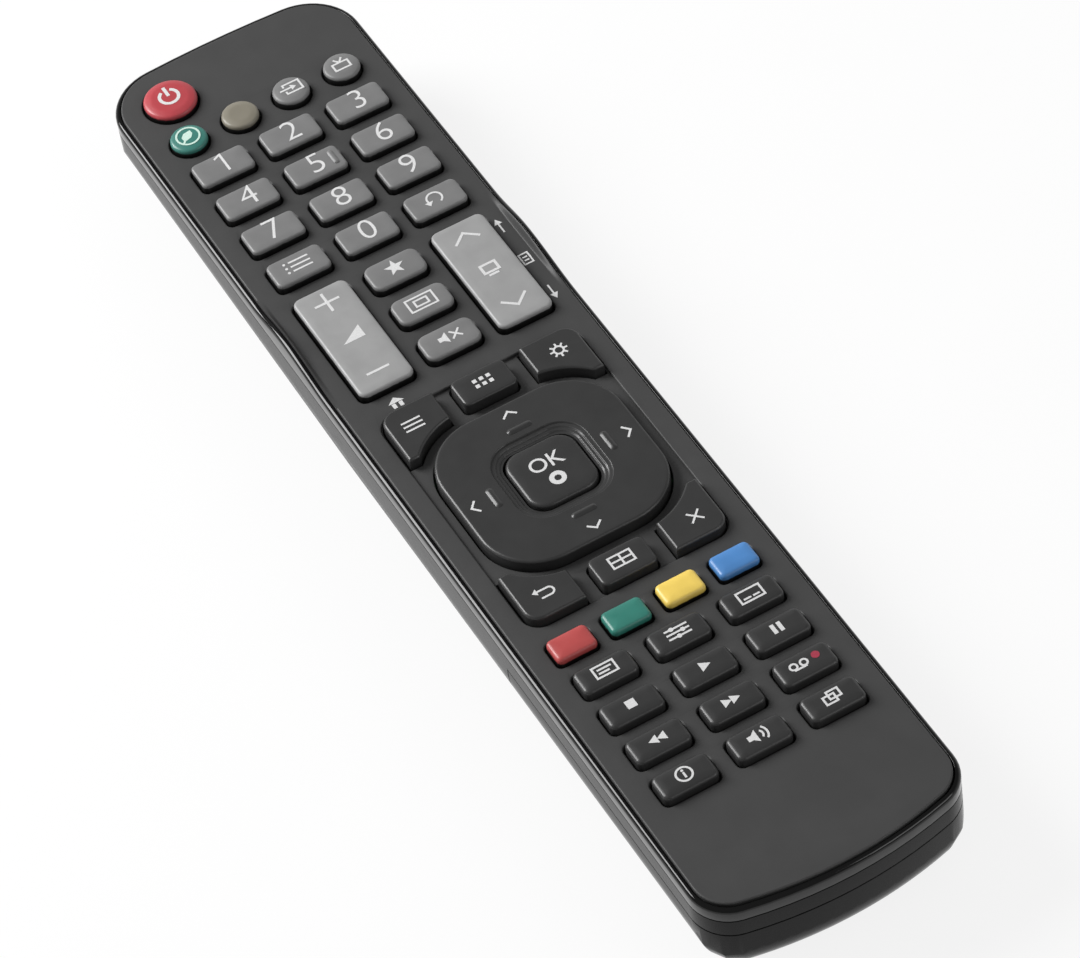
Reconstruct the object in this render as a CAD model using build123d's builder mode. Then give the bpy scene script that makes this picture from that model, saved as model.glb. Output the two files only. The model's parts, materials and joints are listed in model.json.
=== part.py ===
from build123d import *
import os

os.makedirs("parts", exist_ok=True)

# Universal TV remote control. Millimetres, X across, Y towards the infrared end, Z up.
# The origin is on the underside, at the middle of the length and the width.

# Key sizes, and the gaps that set out their rows and columns. The body is as long and as wide as
# the rows and columns of keys need, with its margins.
digit_key_width = 10.4
digit_key_length = 6.2
digit_key_corner = 0.7
middle_key_corner = 1.0
rocker_length = 26.3
rocker_corner = 0.9
round_radius = 3.4
power_radius = 4.9
power_shift = 0.3
colour_key_width = 7.4
colour_key_length = 5.0
colour_key_corner = 0.6
lower_key_width = 10.0
lower_key_length = 5.4
lower_key_corner = 0.7
column_gap = 3.1
digit_row_gap = 3.52
lower_row_gap = 2.88
round_gap = 3.5
colour_gap = 2.7
side_margin = 5.4
head_margin = 6.1
power_to_round_gap = 2.6
round_to_digit_gap = 3.3
digit_to_middle_gap = 4.22
rocker_to_nav_gap = 5.45
nav_to_colour_gap = 4.2
colour_to_lower_gap = 2.9
near_margin = 25.06

# Navigation cluster: a direction ring with an OK key in it, and a key at each corner
ring_side_gap = 1.55
ring_end_gap = 2.95
ring_corner = 10.5
nav_centre_width = 10.3
nav_centre_length = 6.4
nav_key_width = 10.3
nav_key_length = 11.5
nav_key_corner = 2.8
nav_key_gap = 2.6

column_pitch = digit_key_width + column_gap
digit_row_pitch = digit_key_length + digit_row_gap
lower_row_pitch = lower_key_length + lower_row_gap
round_pitch = 2 * round_radius + round_gap
colour_pitch = colour_key_width + colour_gap
key_field_half_width = column_pitch + digit_key_width / 2
power_x = -column_pitch - power_shift

nav_key_outer_x = key_field_half_width
nav_key_inner_x = nav_key_outer_x - nav_key_width
ring_width = 2 * (nav_key_outer_x - ring_side_gap)
ring_length = ring_width
nav_key_outer_y = ring_length / 2 + ring_end_gap + nav_centre_length
nav_key_inner_y = nav_key_outer_y - nav_key_length

# Rows of keys, each measured from the head end
power_row = head_margin + power_radius
round_row = power_row + power_radius + power_to_round_gap + round_radius
digit_row = round_row + round_radius + round_to_digit_gap + digit_key_length / 2
last_digit_row = digit_row + 3 * digit_row_pitch
rocker_row = last_digit_row + digit_key_length + digit_to_middle_gap + digit_row_pitch
nav_row = rocker_row + rocker_length / 2 + rocker_to_nav_gap + nav_key_outer_y
colour_row = nav_row + nav_key_outer_y + nav_to_colour_gap + colour_key_length / 2
lower_row = colour_row + (colour_key_length + lower_key_length) / 2 + colour_to_lower_gap
last_lower_row = lower_row + 3 * lower_row_pitch

# Overall outline, seen from above
body_length = last_lower_row + lower_key_length / 2 + near_margin
body_width = 2 * (key_field_half_width + side_margin)
half_length = body_length / 2
half_width = body_width / 2
head_arch = 1.3
near_arch = 3.8
head_corner_radius = 10.8
near_corner_radius = 7.4

# Rounding of the lower body and the slope of its belly towards the head
side_radius = 10.5
near_end_radius = 8.0
head_end_radius = 12.0
corner_angles = (30, 60)
near_corner_rounding = (9.2, 8.5)
head_corner_rounding = (13.0, 13.5)
level_length = 125.0
belly_start_y = level_length - half_length
belly_rise = 3.0

# Stack from the underside up to the key tops
cover_wall = 1.5
cover_gap = 0.2
battery_diameter = 10.5
roof_gap = 0.3
roof_thickness = 1.0
board_gap = 0.1
board_thickness = 1.0
mat_thickness = 0.8
press_gap = 0.9
flange_thickness = 0.7
flange_gap = 0.1
plate_thickness = 2.0
key_height = 1.6
key_travel = 0.8

roof_bottom_z = cover_wall + cover_gap + battery_diameter + roof_gap
roof_top_z = roof_bottom_z + roof_thickness
board_bottom_z = roof_top_z + board_gap
board_top_z = board_bottom_z + board_thickness
mat_top_z = board_top_z + mat_thickness
flange_bottom_z = mat_top_z + press_gap
flange_top_z = flange_bottom_z + flange_thickness
plate_bottom_z = flange_top_z + flange_gap
plate_top_z = plate_bottom_z + plate_thickness
key_top_z = plate_top_z + key_height
stem_bottom_z = board_top_z + press_gap

# Parting lines of the case, measured down from the key tops
housing_seam_depth = 4.75
cover_seam_depth = 8.3
housing_seam_z = key_top_z - housing_seam_depth
cover_seam_z = key_top_z - cover_seam_depth

# Walls and clearances
housing_wall = 1.6
rim_width = 1.0
rim_drop = 0.4
rim_edge = 0.5
plate_clearance = 0.15
plate_edge = 0.4
ledge_width = 2.2
tongue_wall = 1.2
tongue_depth = 1.2
tongue_clearance = 0.15
key_clearance = 0.3
rocker_clearance = 0.35
overrun = 5.0

# Wave that lifts the side edges beside the long rocker keys
wave_height = 1.4
wave_lip_width = 2.0
wave_head_reach = 18.2
wave_peak_reach = 6.0
wave_near_reach = 11.5

power_y = half_length - power_row
round_row_y = half_length - round_row
digit_top_y = half_length - digit_row
rocker_y = half_length - rocker_row
nav_y = half_length - nav_row
colour_row_y = half_length - colour_row
lower_top_y = half_length - lower_row
wave_head_y = rocker_y + wave_head_reach
wave_peak_y = rocker_y + wave_peak_reach
wave_near_y = rocker_y - wave_near_reach

# What each key has below and above the plate
flange_width = 0.9
key_edge = 0.35
stem_width = 3.0
stem_length = 2.0
stem_clearance = 0.7
tactile_height = 0.3
tactile_width = 0.5
tactile_length = 2.7
tactile_x = 3.6

# Details of the navigation cluster
well_margin = 0.5
well_corner = 3.4
well_depth = 0.6
well_width = 2 * (nav_key_outer_x + well_margin)
well_length = 2 * (nav_key_outer_y + well_margin)
ring_edge = 0.5
ring_dish_width = 2.1
ring_dish_depth = 0.9
ring_bar_offset = 10.9
ring_bar_length = 4.6
ring_bar_width = 1.0
ring_bar_height = 0.25
ring_flange_gap = 0.95
ring_flange_thickness = 0.6
ring_wall = 1.2
ok_width = 13.0
ok_length = 13.4
ok_corner = 3.0
pad_width = 2.4
pad_thickness = 0.9
pad_clearance = 0.3
pad_roof_gap = 0.5

# Battery bay and its cover
battery_length = 44.5
battery_nub_length = 0.8
battery_nub_radius = 1.9
battery_pitch = 10.8
bay_side_gap = 0.35
bay_wall = 1.2
bay_spring_space = 3.4
bay_plate_space = 1.0
bay_floor_gap = 0.5
bay_near_margin = 13.5
bay_head_margin = 5.3
cover_parting = 0.12
bulkhead_wall = 1.5
catch_width = 4.0
catch_reach = 3.0
catch_thickness = 1.0
catch_clearance = 0.3
grip_count = 5
grip_pitch = 2.2
grip_width = 26.0
grip_depth = 0.5
grip_from_front = 20.0

# Contacts
contact_sheet = 0.35
contact_width = 6.4
contact_height = 8.4
contact_bulge = 2.6
dimple_radius = 2.2
dimple_height = 0.5

# Screws and their bosses
screw_side_margin = 6.8
screw_near_margin = 13.0
screw_radius = 1.1
screw_length = 4.6
screw_head_radius = 2.1
screw_head_height = 1.4
screw_clearance = 0.25
screw_slot_depth = 0.6
screw_slot_width = 0.6
boss_radius = 2.7

# Board and what it carries
board_side_margin = 4.1
board_near_margin = 22.0
board_head_margin = 6.0
board_corner = 6.0
chip_width = 13.0
chip_length = 7.6
chip_height = 1.5
chip_from_cover = 48.0
led_radius = 2.5
led_length = 8.6
led_flange_radius = 2.9
led_flange_length = 1.0
led_drop = 3.1
led_tip_gap = 0.7
led_leg = 0.5
led_leg_reach = 2.0
window_width = 22.0
window_height = 6.0
window_top_drop = 2.2
window_clearance = 0.1
rib_thickness = 1.2
rib_width = 2.6
rib_pitch = 36.0
rib_count = 4
rib_from_cover = 20.0

# What a piece that is joined to a wall goes into it
plan_overlap = 0.05

# Places that follow from the sizes above
bay_half_width = (battery_pitch + battery_diameter) / 2 + bay_side_gap
bay_length = battery_length + bay_spring_space + bay_plate_space
bay_near_y = -half_length + bay_near_margin
bay_head_y = bay_near_y + bay_length
bay_floor_z = cover_wall + bay_floor_gap
battery_z = cover_wall + cover_gap + battery_diameter / 2
cover_front_y = bay_head_y + bay_head_margin
grip_y = cover_front_y - grip_from_front
screw_x = half_width - screw_side_margin
screw_y = -half_length + screw_near_margin
board_width = body_width - 2 * board_side_margin
board_near_y = -half_length + board_near_margin
board_head_y = half_length - board_head_margin
chip_y = cover_front_y + chip_from_cover
rib_centre_y = cover_front_y + rib_from_cover + rib_pitch * (rib_count - 1) / 2
window_top_z = housing_seam_z - window_top_drop
window_bottom_z = window_top_z - window_height


# Plan outline of the whole body, drawn in by an inset
def plan_outline(inset, z=0.0):
    edge_x = half_width - inset
    head_y = half_length - inset
    near_y = -half_length + inset
    with BuildSketch(Plane.XY.offset(z)) as outline:
        with BuildLine():
            Line((edge_x, near_y + near_arch), (edge_x, head_y - head_arch))
            ThreePointArc((edge_x, head_y - head_arch), (0, head_y), (-edge_x, head_y - head_arch))
            Line((-edge_x, head_y - head_arch), (-edge_x, near_y + near_arch))
            ThreePointArc((-edge_x, near_y + near_arch), (0, near_y), (edge_x, near_y + near_arch))
        make_face()
        fillet(outline.vertices().sort_by(Axis.Y)[2:], head_corner_radius - inset)
        fillet(outline.vertices().sort_by(Axis.Y)[:2], near_corner_radius - inset)
    return outline.sketch


# Cross-section of the body, drawn at the near end
def cross_section(inset):
    with BuildSketch(Plane.XZ.offset(half_length)) as section:
        with Locations((0, inset)):
            Rectangle(body_width - 2 * inset, key_top_z, align=(Align.CENTER, Align.MIN))
        fillet(section.vertices().group_by(Axis.Y)[0], side_radius - inset)
    return section.sketch


# Side view of the body, which rounds the head end under
def side_view(inset):
    with BuildSketch(Plane.YZ) as profile:
        with Locations((0, inset)):
            Rectangle(body_length - 2 * inset, key_top_z, align=(Align.CENTER, Align.MIN))
        fillet(profile.vertices().group_by(Axis.Y)[0].sort_by(Axis.X)[-1], head_end_radius - inset)
    return profile.sketch


# What is cut away to round the near end under. It is a block less a round of the same arc as the
# near end of the plan outline, so the rounding follows that arc.
def near_end_cut(inset):
    edge_x = half_width - inset
    arc_radius = (edge_x**2 + near_arch**2) / (2 * near_arch)
    centre_y = -half_length + inset + arc_radius
    with BuildPart() as cut:
        with Locations((0, -half_length, 0)):
            Box(2 * body_width, body_width, 2 * key_top_z)
        with BuildSketch(Plane.XZ.offset(-centre_y)) as profile:
            with Locations((0, inset)):
                Rectangle(arc_radius, 2 * key_top_z, align=(Align.MIN, Align.MIN))
            fillet(profile.vertices().group_by(Axis.Y)[0].sort_by(Axis.X)[-1], near_end_radius - inset)
        revolve(axis=Axis((0, centre_y, 0), (0, 0, 1)), mode=Mode.SUBTRACT)
    return cut.part


# The body seen at an angle from above, as a solid that rounds one near and one head corner under
def corner_view(inset, angle, near_radius, head_radius):
    reach = plan_outline(inset).rotate(Axis.Z, angle).bounding_box()
    with BuildPart() as view:
        with BuildSketch(Plane.XZ) as profile:
            with Locations(((reach.min.X + reach.max.X) / 2, inset)):
                Rectangle(reach.size.X, key_top_z, align=(Align.CENTER, Align.MIN))
            fillet(profile.vertices().group_by(Axis.Y)[0].sort_by(Axis.X)[-1], near_radius - inset)
            fillet(profile.vertices().group_by(Axis.Y)[0].sort_by(Axis.X)[0], head_radius - inset)
        extrude(amount=body_length, both=True)
    return view.part.rotate(Axis.Z, -angle)


# The lower body as a solid, inset on every side, up to a height. Its belly is level at the near
# end and slopes up to the head end.
def lower_body(inset, top_z):
    with BuildPart() as body:
        with BuildLine() as belly:
            Polyline((0, -half_length, 0), (0, belly_start_y, 0), (0, half_length, belly_rise))
        sweep(cross_section(inset), path=belly.line, transition=Transition.RIGHT)
        extrude(plan_outline(inset), amount=top_z, mode=Mode.INTERSECT)
        extrude(side_view(inset), amount=half_width, both=True, mode=Mode.INTERSECT)
        add(near_end_cut(inset), mode=Mode.SUBTRACT)
        for angle, near, head in zip(corner_angles, near_corner_rounding, head_corner_rounding):
            add(corner_view(inset, angle, near, head), mode=Mode.INTERSECT)
            mirror(corner_view(inset, angle, near, head), about=Plane.YZ, mode=Mode.INTERSECT)
    return body.part


# Side view of the wave, standing on a height and seen along X
def wave_profile(base_z):
    with BuildSketch(Plane.YZ) as profile:
        with BuildLine():
            Spline(
                (wave_head_y, base_z),
                (wave_peak_y, base_z + wave_height),
                (wave_near_y, base_z),
                tangents=[(-1, 0), (-1, 0)],
            )
            Line((wave_near_y, base_z), (wave_near_y, base_z - plate_edge))
            Line((wave_near_y, base_z - plate_edge), (wave_head_y, base_z - plate_edge))
            Line((wave_head_y, base_z - plate_edge), (wave_head_y, base_z))
        make_face()
    return profile.sketch


# Outlines of the keys. Each grows by an amount for its opening or its flange.
def rectangular_outline(x, y, width, length, corner, grow):
    with BuildSketch() as outline:
        with Locations((x, y)):
            Rectangle(width + 2 * grow, length + 2 * grow)
        chamfer(outline.vertices(), corner)
    return outline.sketch


def rounded_outline(x, y, width, length, corner, grow):
    with BuildSketch() as outline:
        with Locations((x, y)):
            RectangleRounded(width + 2 * grow, length + 2 * grow, corner + grow)
    return outline.sketch


def square_flange(x, y, width, length):
    with BuildSketch() as outline:
        with Locations((x, y)):
            Rectangle(width + 2 * flange_width, length + 2 * flange_width)
    return outline.sketch


def round_outline(x, y, radius, grow):
    with BuildSketch() as outline:
        with Locations((x, y)):
            Circle(radius + grow)
    return outline.sketch


def ring_outline(grow):
    return rounded_outline(0, nav_y, ring_width, ring_length, ring_corner, grow)


def ok_outline(grow):
    return rounded_outline(0, nav_y, ok_width, ok_length, ok_corner, grow)


# A corner key of the navigation cluster follows the direction ring on its inner side
def corner_key_outline(side_x, side_y, grow):
    width = nav_key_outer_x - nav_key_inner_x
    length = nav_key_outer_y - nav_key_inner_y
    x = side_x * (nav_key_outer_x + nav_key_inner_x) / 2
    y = side_y * (nav_key_outer_y + nav_key_inner_y) / 2
    with BuildSketch() as outline:
        with Locations((x, nav_y + y)):
            Rectangle(width + 2 * grow, length + 2 * grow)
        outer = outline.vertices().sort_by_distance((side_x * body_width, nav_y + side_y * body_width))
        fillet(outer[0], nav_key_corner + grow)
        add(ring_outline(nav_key_gap - grow), mode=Mode.SUBTRACT)
    return outline.sketch


# Where each plain key stands: name, place and the sketch of its cap, opening and flange
def rectangular_key(name, x, y, width, length, corner):
    return {
        "name": name,
        "x": x,
        "y": y,
        "cap": rectangular_outline(x, y, width, length, corner, 0),
        "opening": rectangular_outline(x, y, width, length, corner, key_clearance),
        "flange": square_flange(x, y, width, length),
    }


def round_key(name, x, y, radius):
    return {
        "name": name,
        "x": x,
        "y": y,
        "cap": round_outline(x, y, radius, 0),
        "opening": round_outline(x, y, radius, key_clearance),
        "flange": round_outline(x, y, radius, flange_width),
    }


def corner_key(name, side_x, side_y):
    return {
        "name": name,
        "x": side_x * (nav_key_outer_x + nav_key_inner_x) / 2,
        "y": nav_y + side_y * (nav_key_outer_y - nav_centre_length / 2),
        "cap": corner_key_outline(side_x, side_y, 0),
        "opening": corner_key_outline(side_x, side_y, key_clearance),
        "flange": corner_key_outline(side_x, side_y, flange_width),
    }


plain_keys = [round_key("power_key", power_x, power_y, power_radius)]

round_names = ["eco_key", "blank_key", "input_key", "radio_key"]
for place, name in enumerate(round_names):
    x = (place - (len(round_names) - 1) / 2) * round_pitch
    plain_keys.append(round_key(name, x, round_row_y, round_radius))

digit_names = [
    ["digit_1_key", "digit_2_key", "digit_3_key"],
    ["digit_4_key", "digit_5_key", "digit_6_key"],
    ["digit_7_key", "digit_8_key", "digit_9_key"],
    ["list_key", "digit_0_key", "recall_key"],
]
for row, names in enumerate(digit_names):
    for column, name in enumerate(names):
        x = (column - 1) * column_pitch
        y = digit_top_y - row * digit_row_pitch
        plain_keys.append(
            rectangular_key(name, x, y, digit_key_width, digit_key_length, digit_key_corner)
        )

for row, name in enumerate(["favourite_key", "ratio_key", "mute_key"]):
    y = rocker_y + (1 - row) * digit_row_pitch
    plain_keys.append(
        rectangular_key(name, 0, y, digit_key_width, digit_key_length, middle_key_corner)
    )

nav_centre_offset = nav_key_outer_y - nav_centre_length / 2
for name, side_y in [("apps_key", 1), ("guide_key", -1)]:
    y = nav_y + side_y * nav_centre_offset
    plain_keys.append(
        rectangular_key(name, 0, y, nav_centre_width, nav_centre_length, lower_key_corner)
    )
plain_keys.append(corner_key("menu_key", -1, 1))
plain_keys.append(corner_key("quick_menu_key", 1, 1))
plain_keys.append(corner_key("back_key", -1, -1))
plain_keys.append(corner_key("exit_key", 1, -1))

colour_names = ["red_key", "green_key", "yellow_key", "blue_key"]
for place, name in enumerate(colour_names):
    x = (place - (len(colour_names) - 1) / 2) * colour_pitch
    plain_keys.append(
        rectangular_key(
            name, x, colour_row_y, colour_key_width, colour_key_length, colour_key_corner
        )
    )

lower_names = [
    ["text_key", "option_key", "subtitle_key"],
    ["stop_key", "play_key", "pause_key"],
    ["rewind_key", "forward_key", "record_key"],
    ["info_key", "audio_key", "depth_key"],
]
for row, names in enumerate(lower_names):
    for column, name in enumerate(names):
        x = (column - 1) * column_pitch
        y = lower_top_y - row * lower_row_pitch
        plain_keys.append(
            rectangular_key(name, x, y, lower_key_width, lower_key_length, lower_key_corner)
        )

rocker_places = {"volume_rocker": -column_pitch, "programme_rocker": column_pitch}
rocker_stem_offset = rocker_length / 2 - stem_length - flange_width


# Face plate, with an opening for each key and a shallow well round the navigation keys
with BuildPart() as face_plate:
    extrude(plan_outline(rim_width + plate_clearance, plate_bottom_z), amount=plate_thickness)
    chamfer(face_plate.edges().group_by(Axis.Z)[-1], plate_edge)
    plate_half_width = half_width - rim_width - plate_clearance
    with BuildSketch(Plane.XZ.offset(-wave_head_y)) as lip:
        for side in (-1, 1):
            with BuildLine():
                Polyline(
                    (side * (plate_half_width - wave_lip_width), plate_top_z),
                    (side * plate_half_width, plate_top_z + wave_height),
                    (side * plate_half_width, plate_top_z - plate_edge),
                    (side * (plate_half_width - wave_lip_width), plate_top_z - plate_edge),
                    close=True,
                )
            make_face()
    lips = extrude(lip.sketch, amount=wave_head_y - wave_near_y, mode=Mode.PRIVATE)
    wave = extrude(wave_profile(plate_top_z), amount=half_width, both=True, mode=Mode.PRIVATE)
    add(lips & wave)
    with BuildSketch(Plane.XY.offset(plate_top_z)) as well:
        with Locations((0, nav_y)):
            RectangleRounded(well_width, well_length, well_corner)
    extrude(amount=-well_depth, mode=Mode.SUBTRACT)
    with BuildSketch(Plane.XY.offset(plate_bottom_z)) as openings:
        for key in plain_keys:
            add(key["opening"])
        for x in rocker_places.values():
            add(
                rectangular_outline(
                    x, rocker_y, digit_key_width, rocker_length, rocker_corner, rocker_clearance
                )
            )
        add(ring_outline(rocker_clearance))
    extrude(amount=plate_thickness, mode=Mode.SUBTRACT)
    with BuildSketch(Plane.XY.offset(plate_bottom_z)) as bosses:
        with Locations((-screw_x, screw_y), (screw_x, screw_y)):
            Circle(boss_radius)
    extrude(amount=roof_top_z + board_gap - plate_bottom_z)
    with Locations((-screw_x, screw_y, roof_top_z + board_gap), (screw_x, screw_y, roof_top_z + board_gap)):
        Hole(screw_radius + plan_overlap, depth=screw_length)
face_plate.part.label = "face_plate"
export_step(face_plate.part, "parts/face_plate.step")

# Upper housing: the gloss rim round the plate, with the ledge that carries it
with BuildPart() as upper_housing:
    extrude(plan_outline(0, housing_seam_z), amount=plate_top_z - rim_drop - housing_seam_z)
    chamfer(upper_housing.edges().group_by(Axis.Z)[-1], rim_edge)
    rim_top_z = plate_top_z - rim_drop
    lift_rim = extrude(wave_profile(rim_top_z), amount=half_width, both=True, mode=Mode.PRIVATE)
    rim_blank = extrude(
        plan_outline(plan_overlap, housing_seam_z),
        amount=plate_top_z + wave_height - housing_seam_z,
        mode=Mode.PRIVATE,
    )
    add(lift_rim & rim_blank)
    extrude(
        plan_outline(housing_wall + tongue_clearance, housing_seam_z - tongue_depth), amount=tongue_depth
    )
    extrude(
        plan_outline(rim_width, plate_bottom_z), amount=plate_thickness + wave_height, mode=Mode.SUBTRACT
    )
    extrude(
        plan_outline(rim_width + ledge_width, housing_seam_z - tongue_depth),
        amount=plate_bottom_z + tongue_depth - housing_seam_z,
        mode=Mode.SUBTRACT,
    )
    extrude(
        plan_outline(housing_wall + tongue_clearance + tongue_wall, housing_seam_z - tongue_depth),
        amount=tongue_depth,
        mode=Mode.SUBTRACT,
    )
upper_housing.part.label = "upper_housing"
export_step(upper_housing.part, "parts/upper_housing.step")


# A block that spans the width, from one place along the length to another
def slab(near_y, head_y, bottom_z, top_z, width=body_width):
    with BuildPart() as block:
        with BuildSketch(Plane.XY.offset(bottom_z)):
            with Locations((0, (near_y + head_y) / 2)):
                Rectangle(width, head_y - near_y)
        extrude(amount=top_z - bottom_z)
    return block.part


# Lower housing: the shell, its belt over the battery cover, and the battery bay
with BuildPart() as lower_housing:
    add(lower_body(0, housing_seam_z))
    add(lower_body(housing_wall, housing_seam_z), mode=Mode.SUBTRACT)
    add(slab(-half_length, cover_front_y, 0, cover_seam_z), mode=Mode.SUBTRACT)
    floor_slab = slab(-half_length, cover_front_y, roof_bottom_z, roof_top_z)
    add(lower_body(plan_overlap, housing_seam_z) & floor_slab)
    wall_slab = slab(cover_front_y, cover_front_y + bulkhead_wall, 0, roof_top_z)
    add(lower_body(plan_overlap, housing_seam_z) & wall_slab)
    bay_outer_width = 2 * (bay_half_width + bay_wall)
    add(
        slab(
            bay_near_y - bay_wall,
            bay_head_y + bay_wall,
            bay_floor_z,
            roof_top_z,
            bay_outer_width,
        )
    )
    add(
        slab(bay_near_y, bay_head_y, bay_floor_z, roof_bottom_z, 2 * bay_half_width),
        mode=Mode.SUBTRACT,
    )
    with BuildSketch(Plane.XZ.offset(-cover_front_y)) as catch_slot:
        with Locations((0, cover_wall + catch_clearance + catch_thickness / 2)):
            Rectangle(catch_width + 2 * catch_clearance, catch_thickness + 2 * catch_clearance)
    extrude(amount=-bulkhead_wall, mode=Mode.SUBTRACT)
    add(
        slab(
            half_length - head_end_radius,
            half_length + overrun,
            window_bottom_z,
            window_top_z,
            window_width,
        ),
        mode=Mode.SUBTRACT,
    )
    inner_half_width = half_width - housing_wall
    with BuildSketch(Plane.XY.offset(side_radius)) as ribs:
        for side in (-1, 1):
            with Locations((side * (inner_half_width - rib_width / 2 + plan_overlap), rib_centre_y)):
                with GridLocations(0, rib_pitch, 1, rib_count):
                    Rectangle(rib_width, rib_thickness)
    extrude(amount=board_bottom_z - side_radius)
    with Locations((-screw_x, screw_y, roof_top_z), (screw_x, screw_y, roof_top_z)):
        Hole(screw_radius + screw_clearance, depth=roof_thickness)
lower_housing.part.label = "lower_housing"
export_step(lower_housing.part, "parts/lower_housing.step")


# Battery cover: the near half of the back, which slides off past the near end
with BuildPart() as battery_cover:
    add(lower_body(0, cover_seam_z - cover_parting))
    add(lower_body(cover_wall, cover_seam_z), mode=Mode.SUBTRACT)
    add(
        slab(cover_front_y - cover_parting, half_length + overrun, 0, cover_seam_z),
        mode=Mode.SUBTRACT,
    )
    catch_bottom_z = cover_wall + catch_clearance
    add(
        slab(
            cover_front_y - catch_reach - cover_parting,
            cover_front_y - cover_parting,
            cover_wall - plan_overlap,
            catch_bottom_z + catch_thickness,
            catch_width,
        )
    )
    add(
        slab(
            cover_front_y - catch_reach,
            cover_front_y + catch_reach,
            catch_bottom_z,
            catch_bottom_z + catch_thickness,
            catch_width,
        )
    )
    with BuildSketch(Plane.XY) as grips:
        with Locations((0, grip_y)):
            with GridLocations(0, grip_pitch, 1, grip_count):
                Rectangle(grip_width, grip_pitch / 2)
    extrude(amount=grip_depth, mode=Mode.SUBTRACT)
battery_cover.part.label = "battery_cover"
export_step(battery_cover.part, "parts/battery_cover.step")


# Infrared window: closes the opening in the head end with the same curve as the wall
with BuildPart() as ir_window:
    add(lower_body(0, housing_seam_z))
    add(lower_body(housing_wall, housing_seam_z), mode=Mode.SUBTRACT)
    add(
        slab(
            half_length - head_end_radius,
            half_length + overrun,
            window_bottom_z + window_clearance,
            window_top_z - window_clearance,
            window_width - 2 * window_clearance,
        ),
        mode=Mode.INTERSECT,
    )
ir_window.part.label = "ir_window"
export_step(ir_window.part, "parts/ir_window.step")


# Circuit board
with BuildPart() as circuit_board:
    with BuildSketch(Plane.XY.offset(board_bottom_z)):
        with Locations((0, (board_near_y + board_head_y) / 2)):
            RectangleRounded(board_width, board_head_y - board_near_y, board_corner)
    extrude(amount=board_thickness)
circuit_board.part.label = "circuit_board"
export_step(circuit_board.part, "parts/circuit_board.step")


# Rubber keypad mat, with a well under each key's stem and a window under the direction ring
with BuildPart() as keypad_mat:
    with BuildSketch(Plane.XY.offset(board_top_z)):
        with Locations((0, (board_near_y + board_head_y) / 2)):
            RectangleRounded(board_width, board_head_y - board_near_y, board_corner)
    extrude(amount=mat_thickness)
    with BuildSketch(Plane.XY.offset(board_top_z)) as wells:
        for key in plain_keys:
            with Locations((key["x"], key["y"])):
                Rectangle(stem_width + 2 * stem_clearance, stem_length + 2 * stem_clearance)
        for x in rocker_places.values():
            for side in (-1, 1):
                with Locations((x, rocker_y + side * rocker_stem_offset)):
                    Rectangle(stem_width + 2 * stem_clearance, stem_length + 2 * stem_clearance)
        add(ring_outline(flange_width))
    extrude(amount=mat_thickness, mode=Mode.SUBTRACT)
keypad_mat.part.label = "keypad_mat"
export_step(keypad_mat.part, "parts/keypad_mat.step")


# Control chip under the board
with BuildPart() as control_chip:
    with BuildSketch(Plane.XY.offset(board_bottom_z)):
        with Locations((0, chip_y)):
            Rectangle(chip_width, chip_length)
    extrude(amount=-chip_height)
control_chip.part.label = "control_chip"
export_step(control_chip.part, "parts/control_chip.step")


# Infrared lamp: a domed cylinder that looks out through the window, hung from the board by two legs
led_z = board_bottom_z - led_drop
led_tip_y = half_length - housing_wall - led_tip_gap
led_back_y = led_tip_y - led_length
with BuildPart() as ir_led:
    with BuildSketch(Plane.YZ) as half_profile:
        with BuildLine():
            Line((led_back_y, led_z), (led_tip_y, led_z))
            Line((led_tip_y, led_z), (led_tip_y, led_z + led_radius / 2))
            Polyline(
                (led_tip_y, led_z + led_radius / 2),
                (led_tip_y - led_radius, led_z + led_radius),
                (led_back_y + led_flange_length, led_z + led_radius),
                (led_back_y + led_flange_length, led_z + led_flange_radius),
                (led_back_y, led_z + led_flange_radius),
                (led_back_y, led_z),
            )
        make_face()
    revolve(axis=Axis((0, 0, led_z), (0, 1, 0)))
    with BuildSketch(Plane.XZ.offset(-led_back_y)) as legs:
        for side in (-1, 1):
            with Locations((side * led_radius / 2, led_z)):
                Rectangle(led_leg, led_leg)
    extrude(amount=led_leg_reach)
    with BuildSketch(Plane.XY.offset(led_z - led_leg / 2)) as risers:
        for side in (-1, 1):
            with Locations((side * led_radius / 2, led_back_y - led_leg_reach + led_leg / 2)):
                Rectangle(led_leg, led_leg)
    extrude(amount=board_bottom_z - led_z + led_leg / 2)
ir_led.part.label = "ir_led"
export_step(ir_led.part, "parts/ir_led.step")


# Two cells, one turned end for end
def battery(x, nub_side):
    near_y = bay_near_y + (bay_spring_space if nub_side > 0 else bay_plate_space)
    flat_y = near_y if nub_side > 0 else near_y + battery_length
    shoulder_y = flat_y + nub_side * (battery_length - battery_nub_length)
    tip_y = flat_y + nub_side * battery_length
    radius = battery_diameter / 2
    with BuildPart() as cell:
        with BuildSketch(Plane.YZ.offset(x)) as half_profile:
            with BuildLine():
                Polyline(
                    (flat_y, battery_z),
                    (flat_y, battery_z + radius),
                    (shoulder_y, battery_z + radius),
                    (shoulder_y, battery_z + battery_nub_radius),
                    (tip_y, battery_z + battery_nub_radius),
                    (tip_y, battery_z),
                    close=True,
                )
            make_face()
        revolve(axis=Axis((x, 0, battery_z), (0, 1, 0)))
    return cell.part


with BuildPart() as batteries:
    add(battery(-battery_pitch / 2, 1))
    add(battery(battery_pitch / 2, -1))
batteries.part.label = "batteries"
export_step(batteries.part, "parts/batteries.step")


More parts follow.
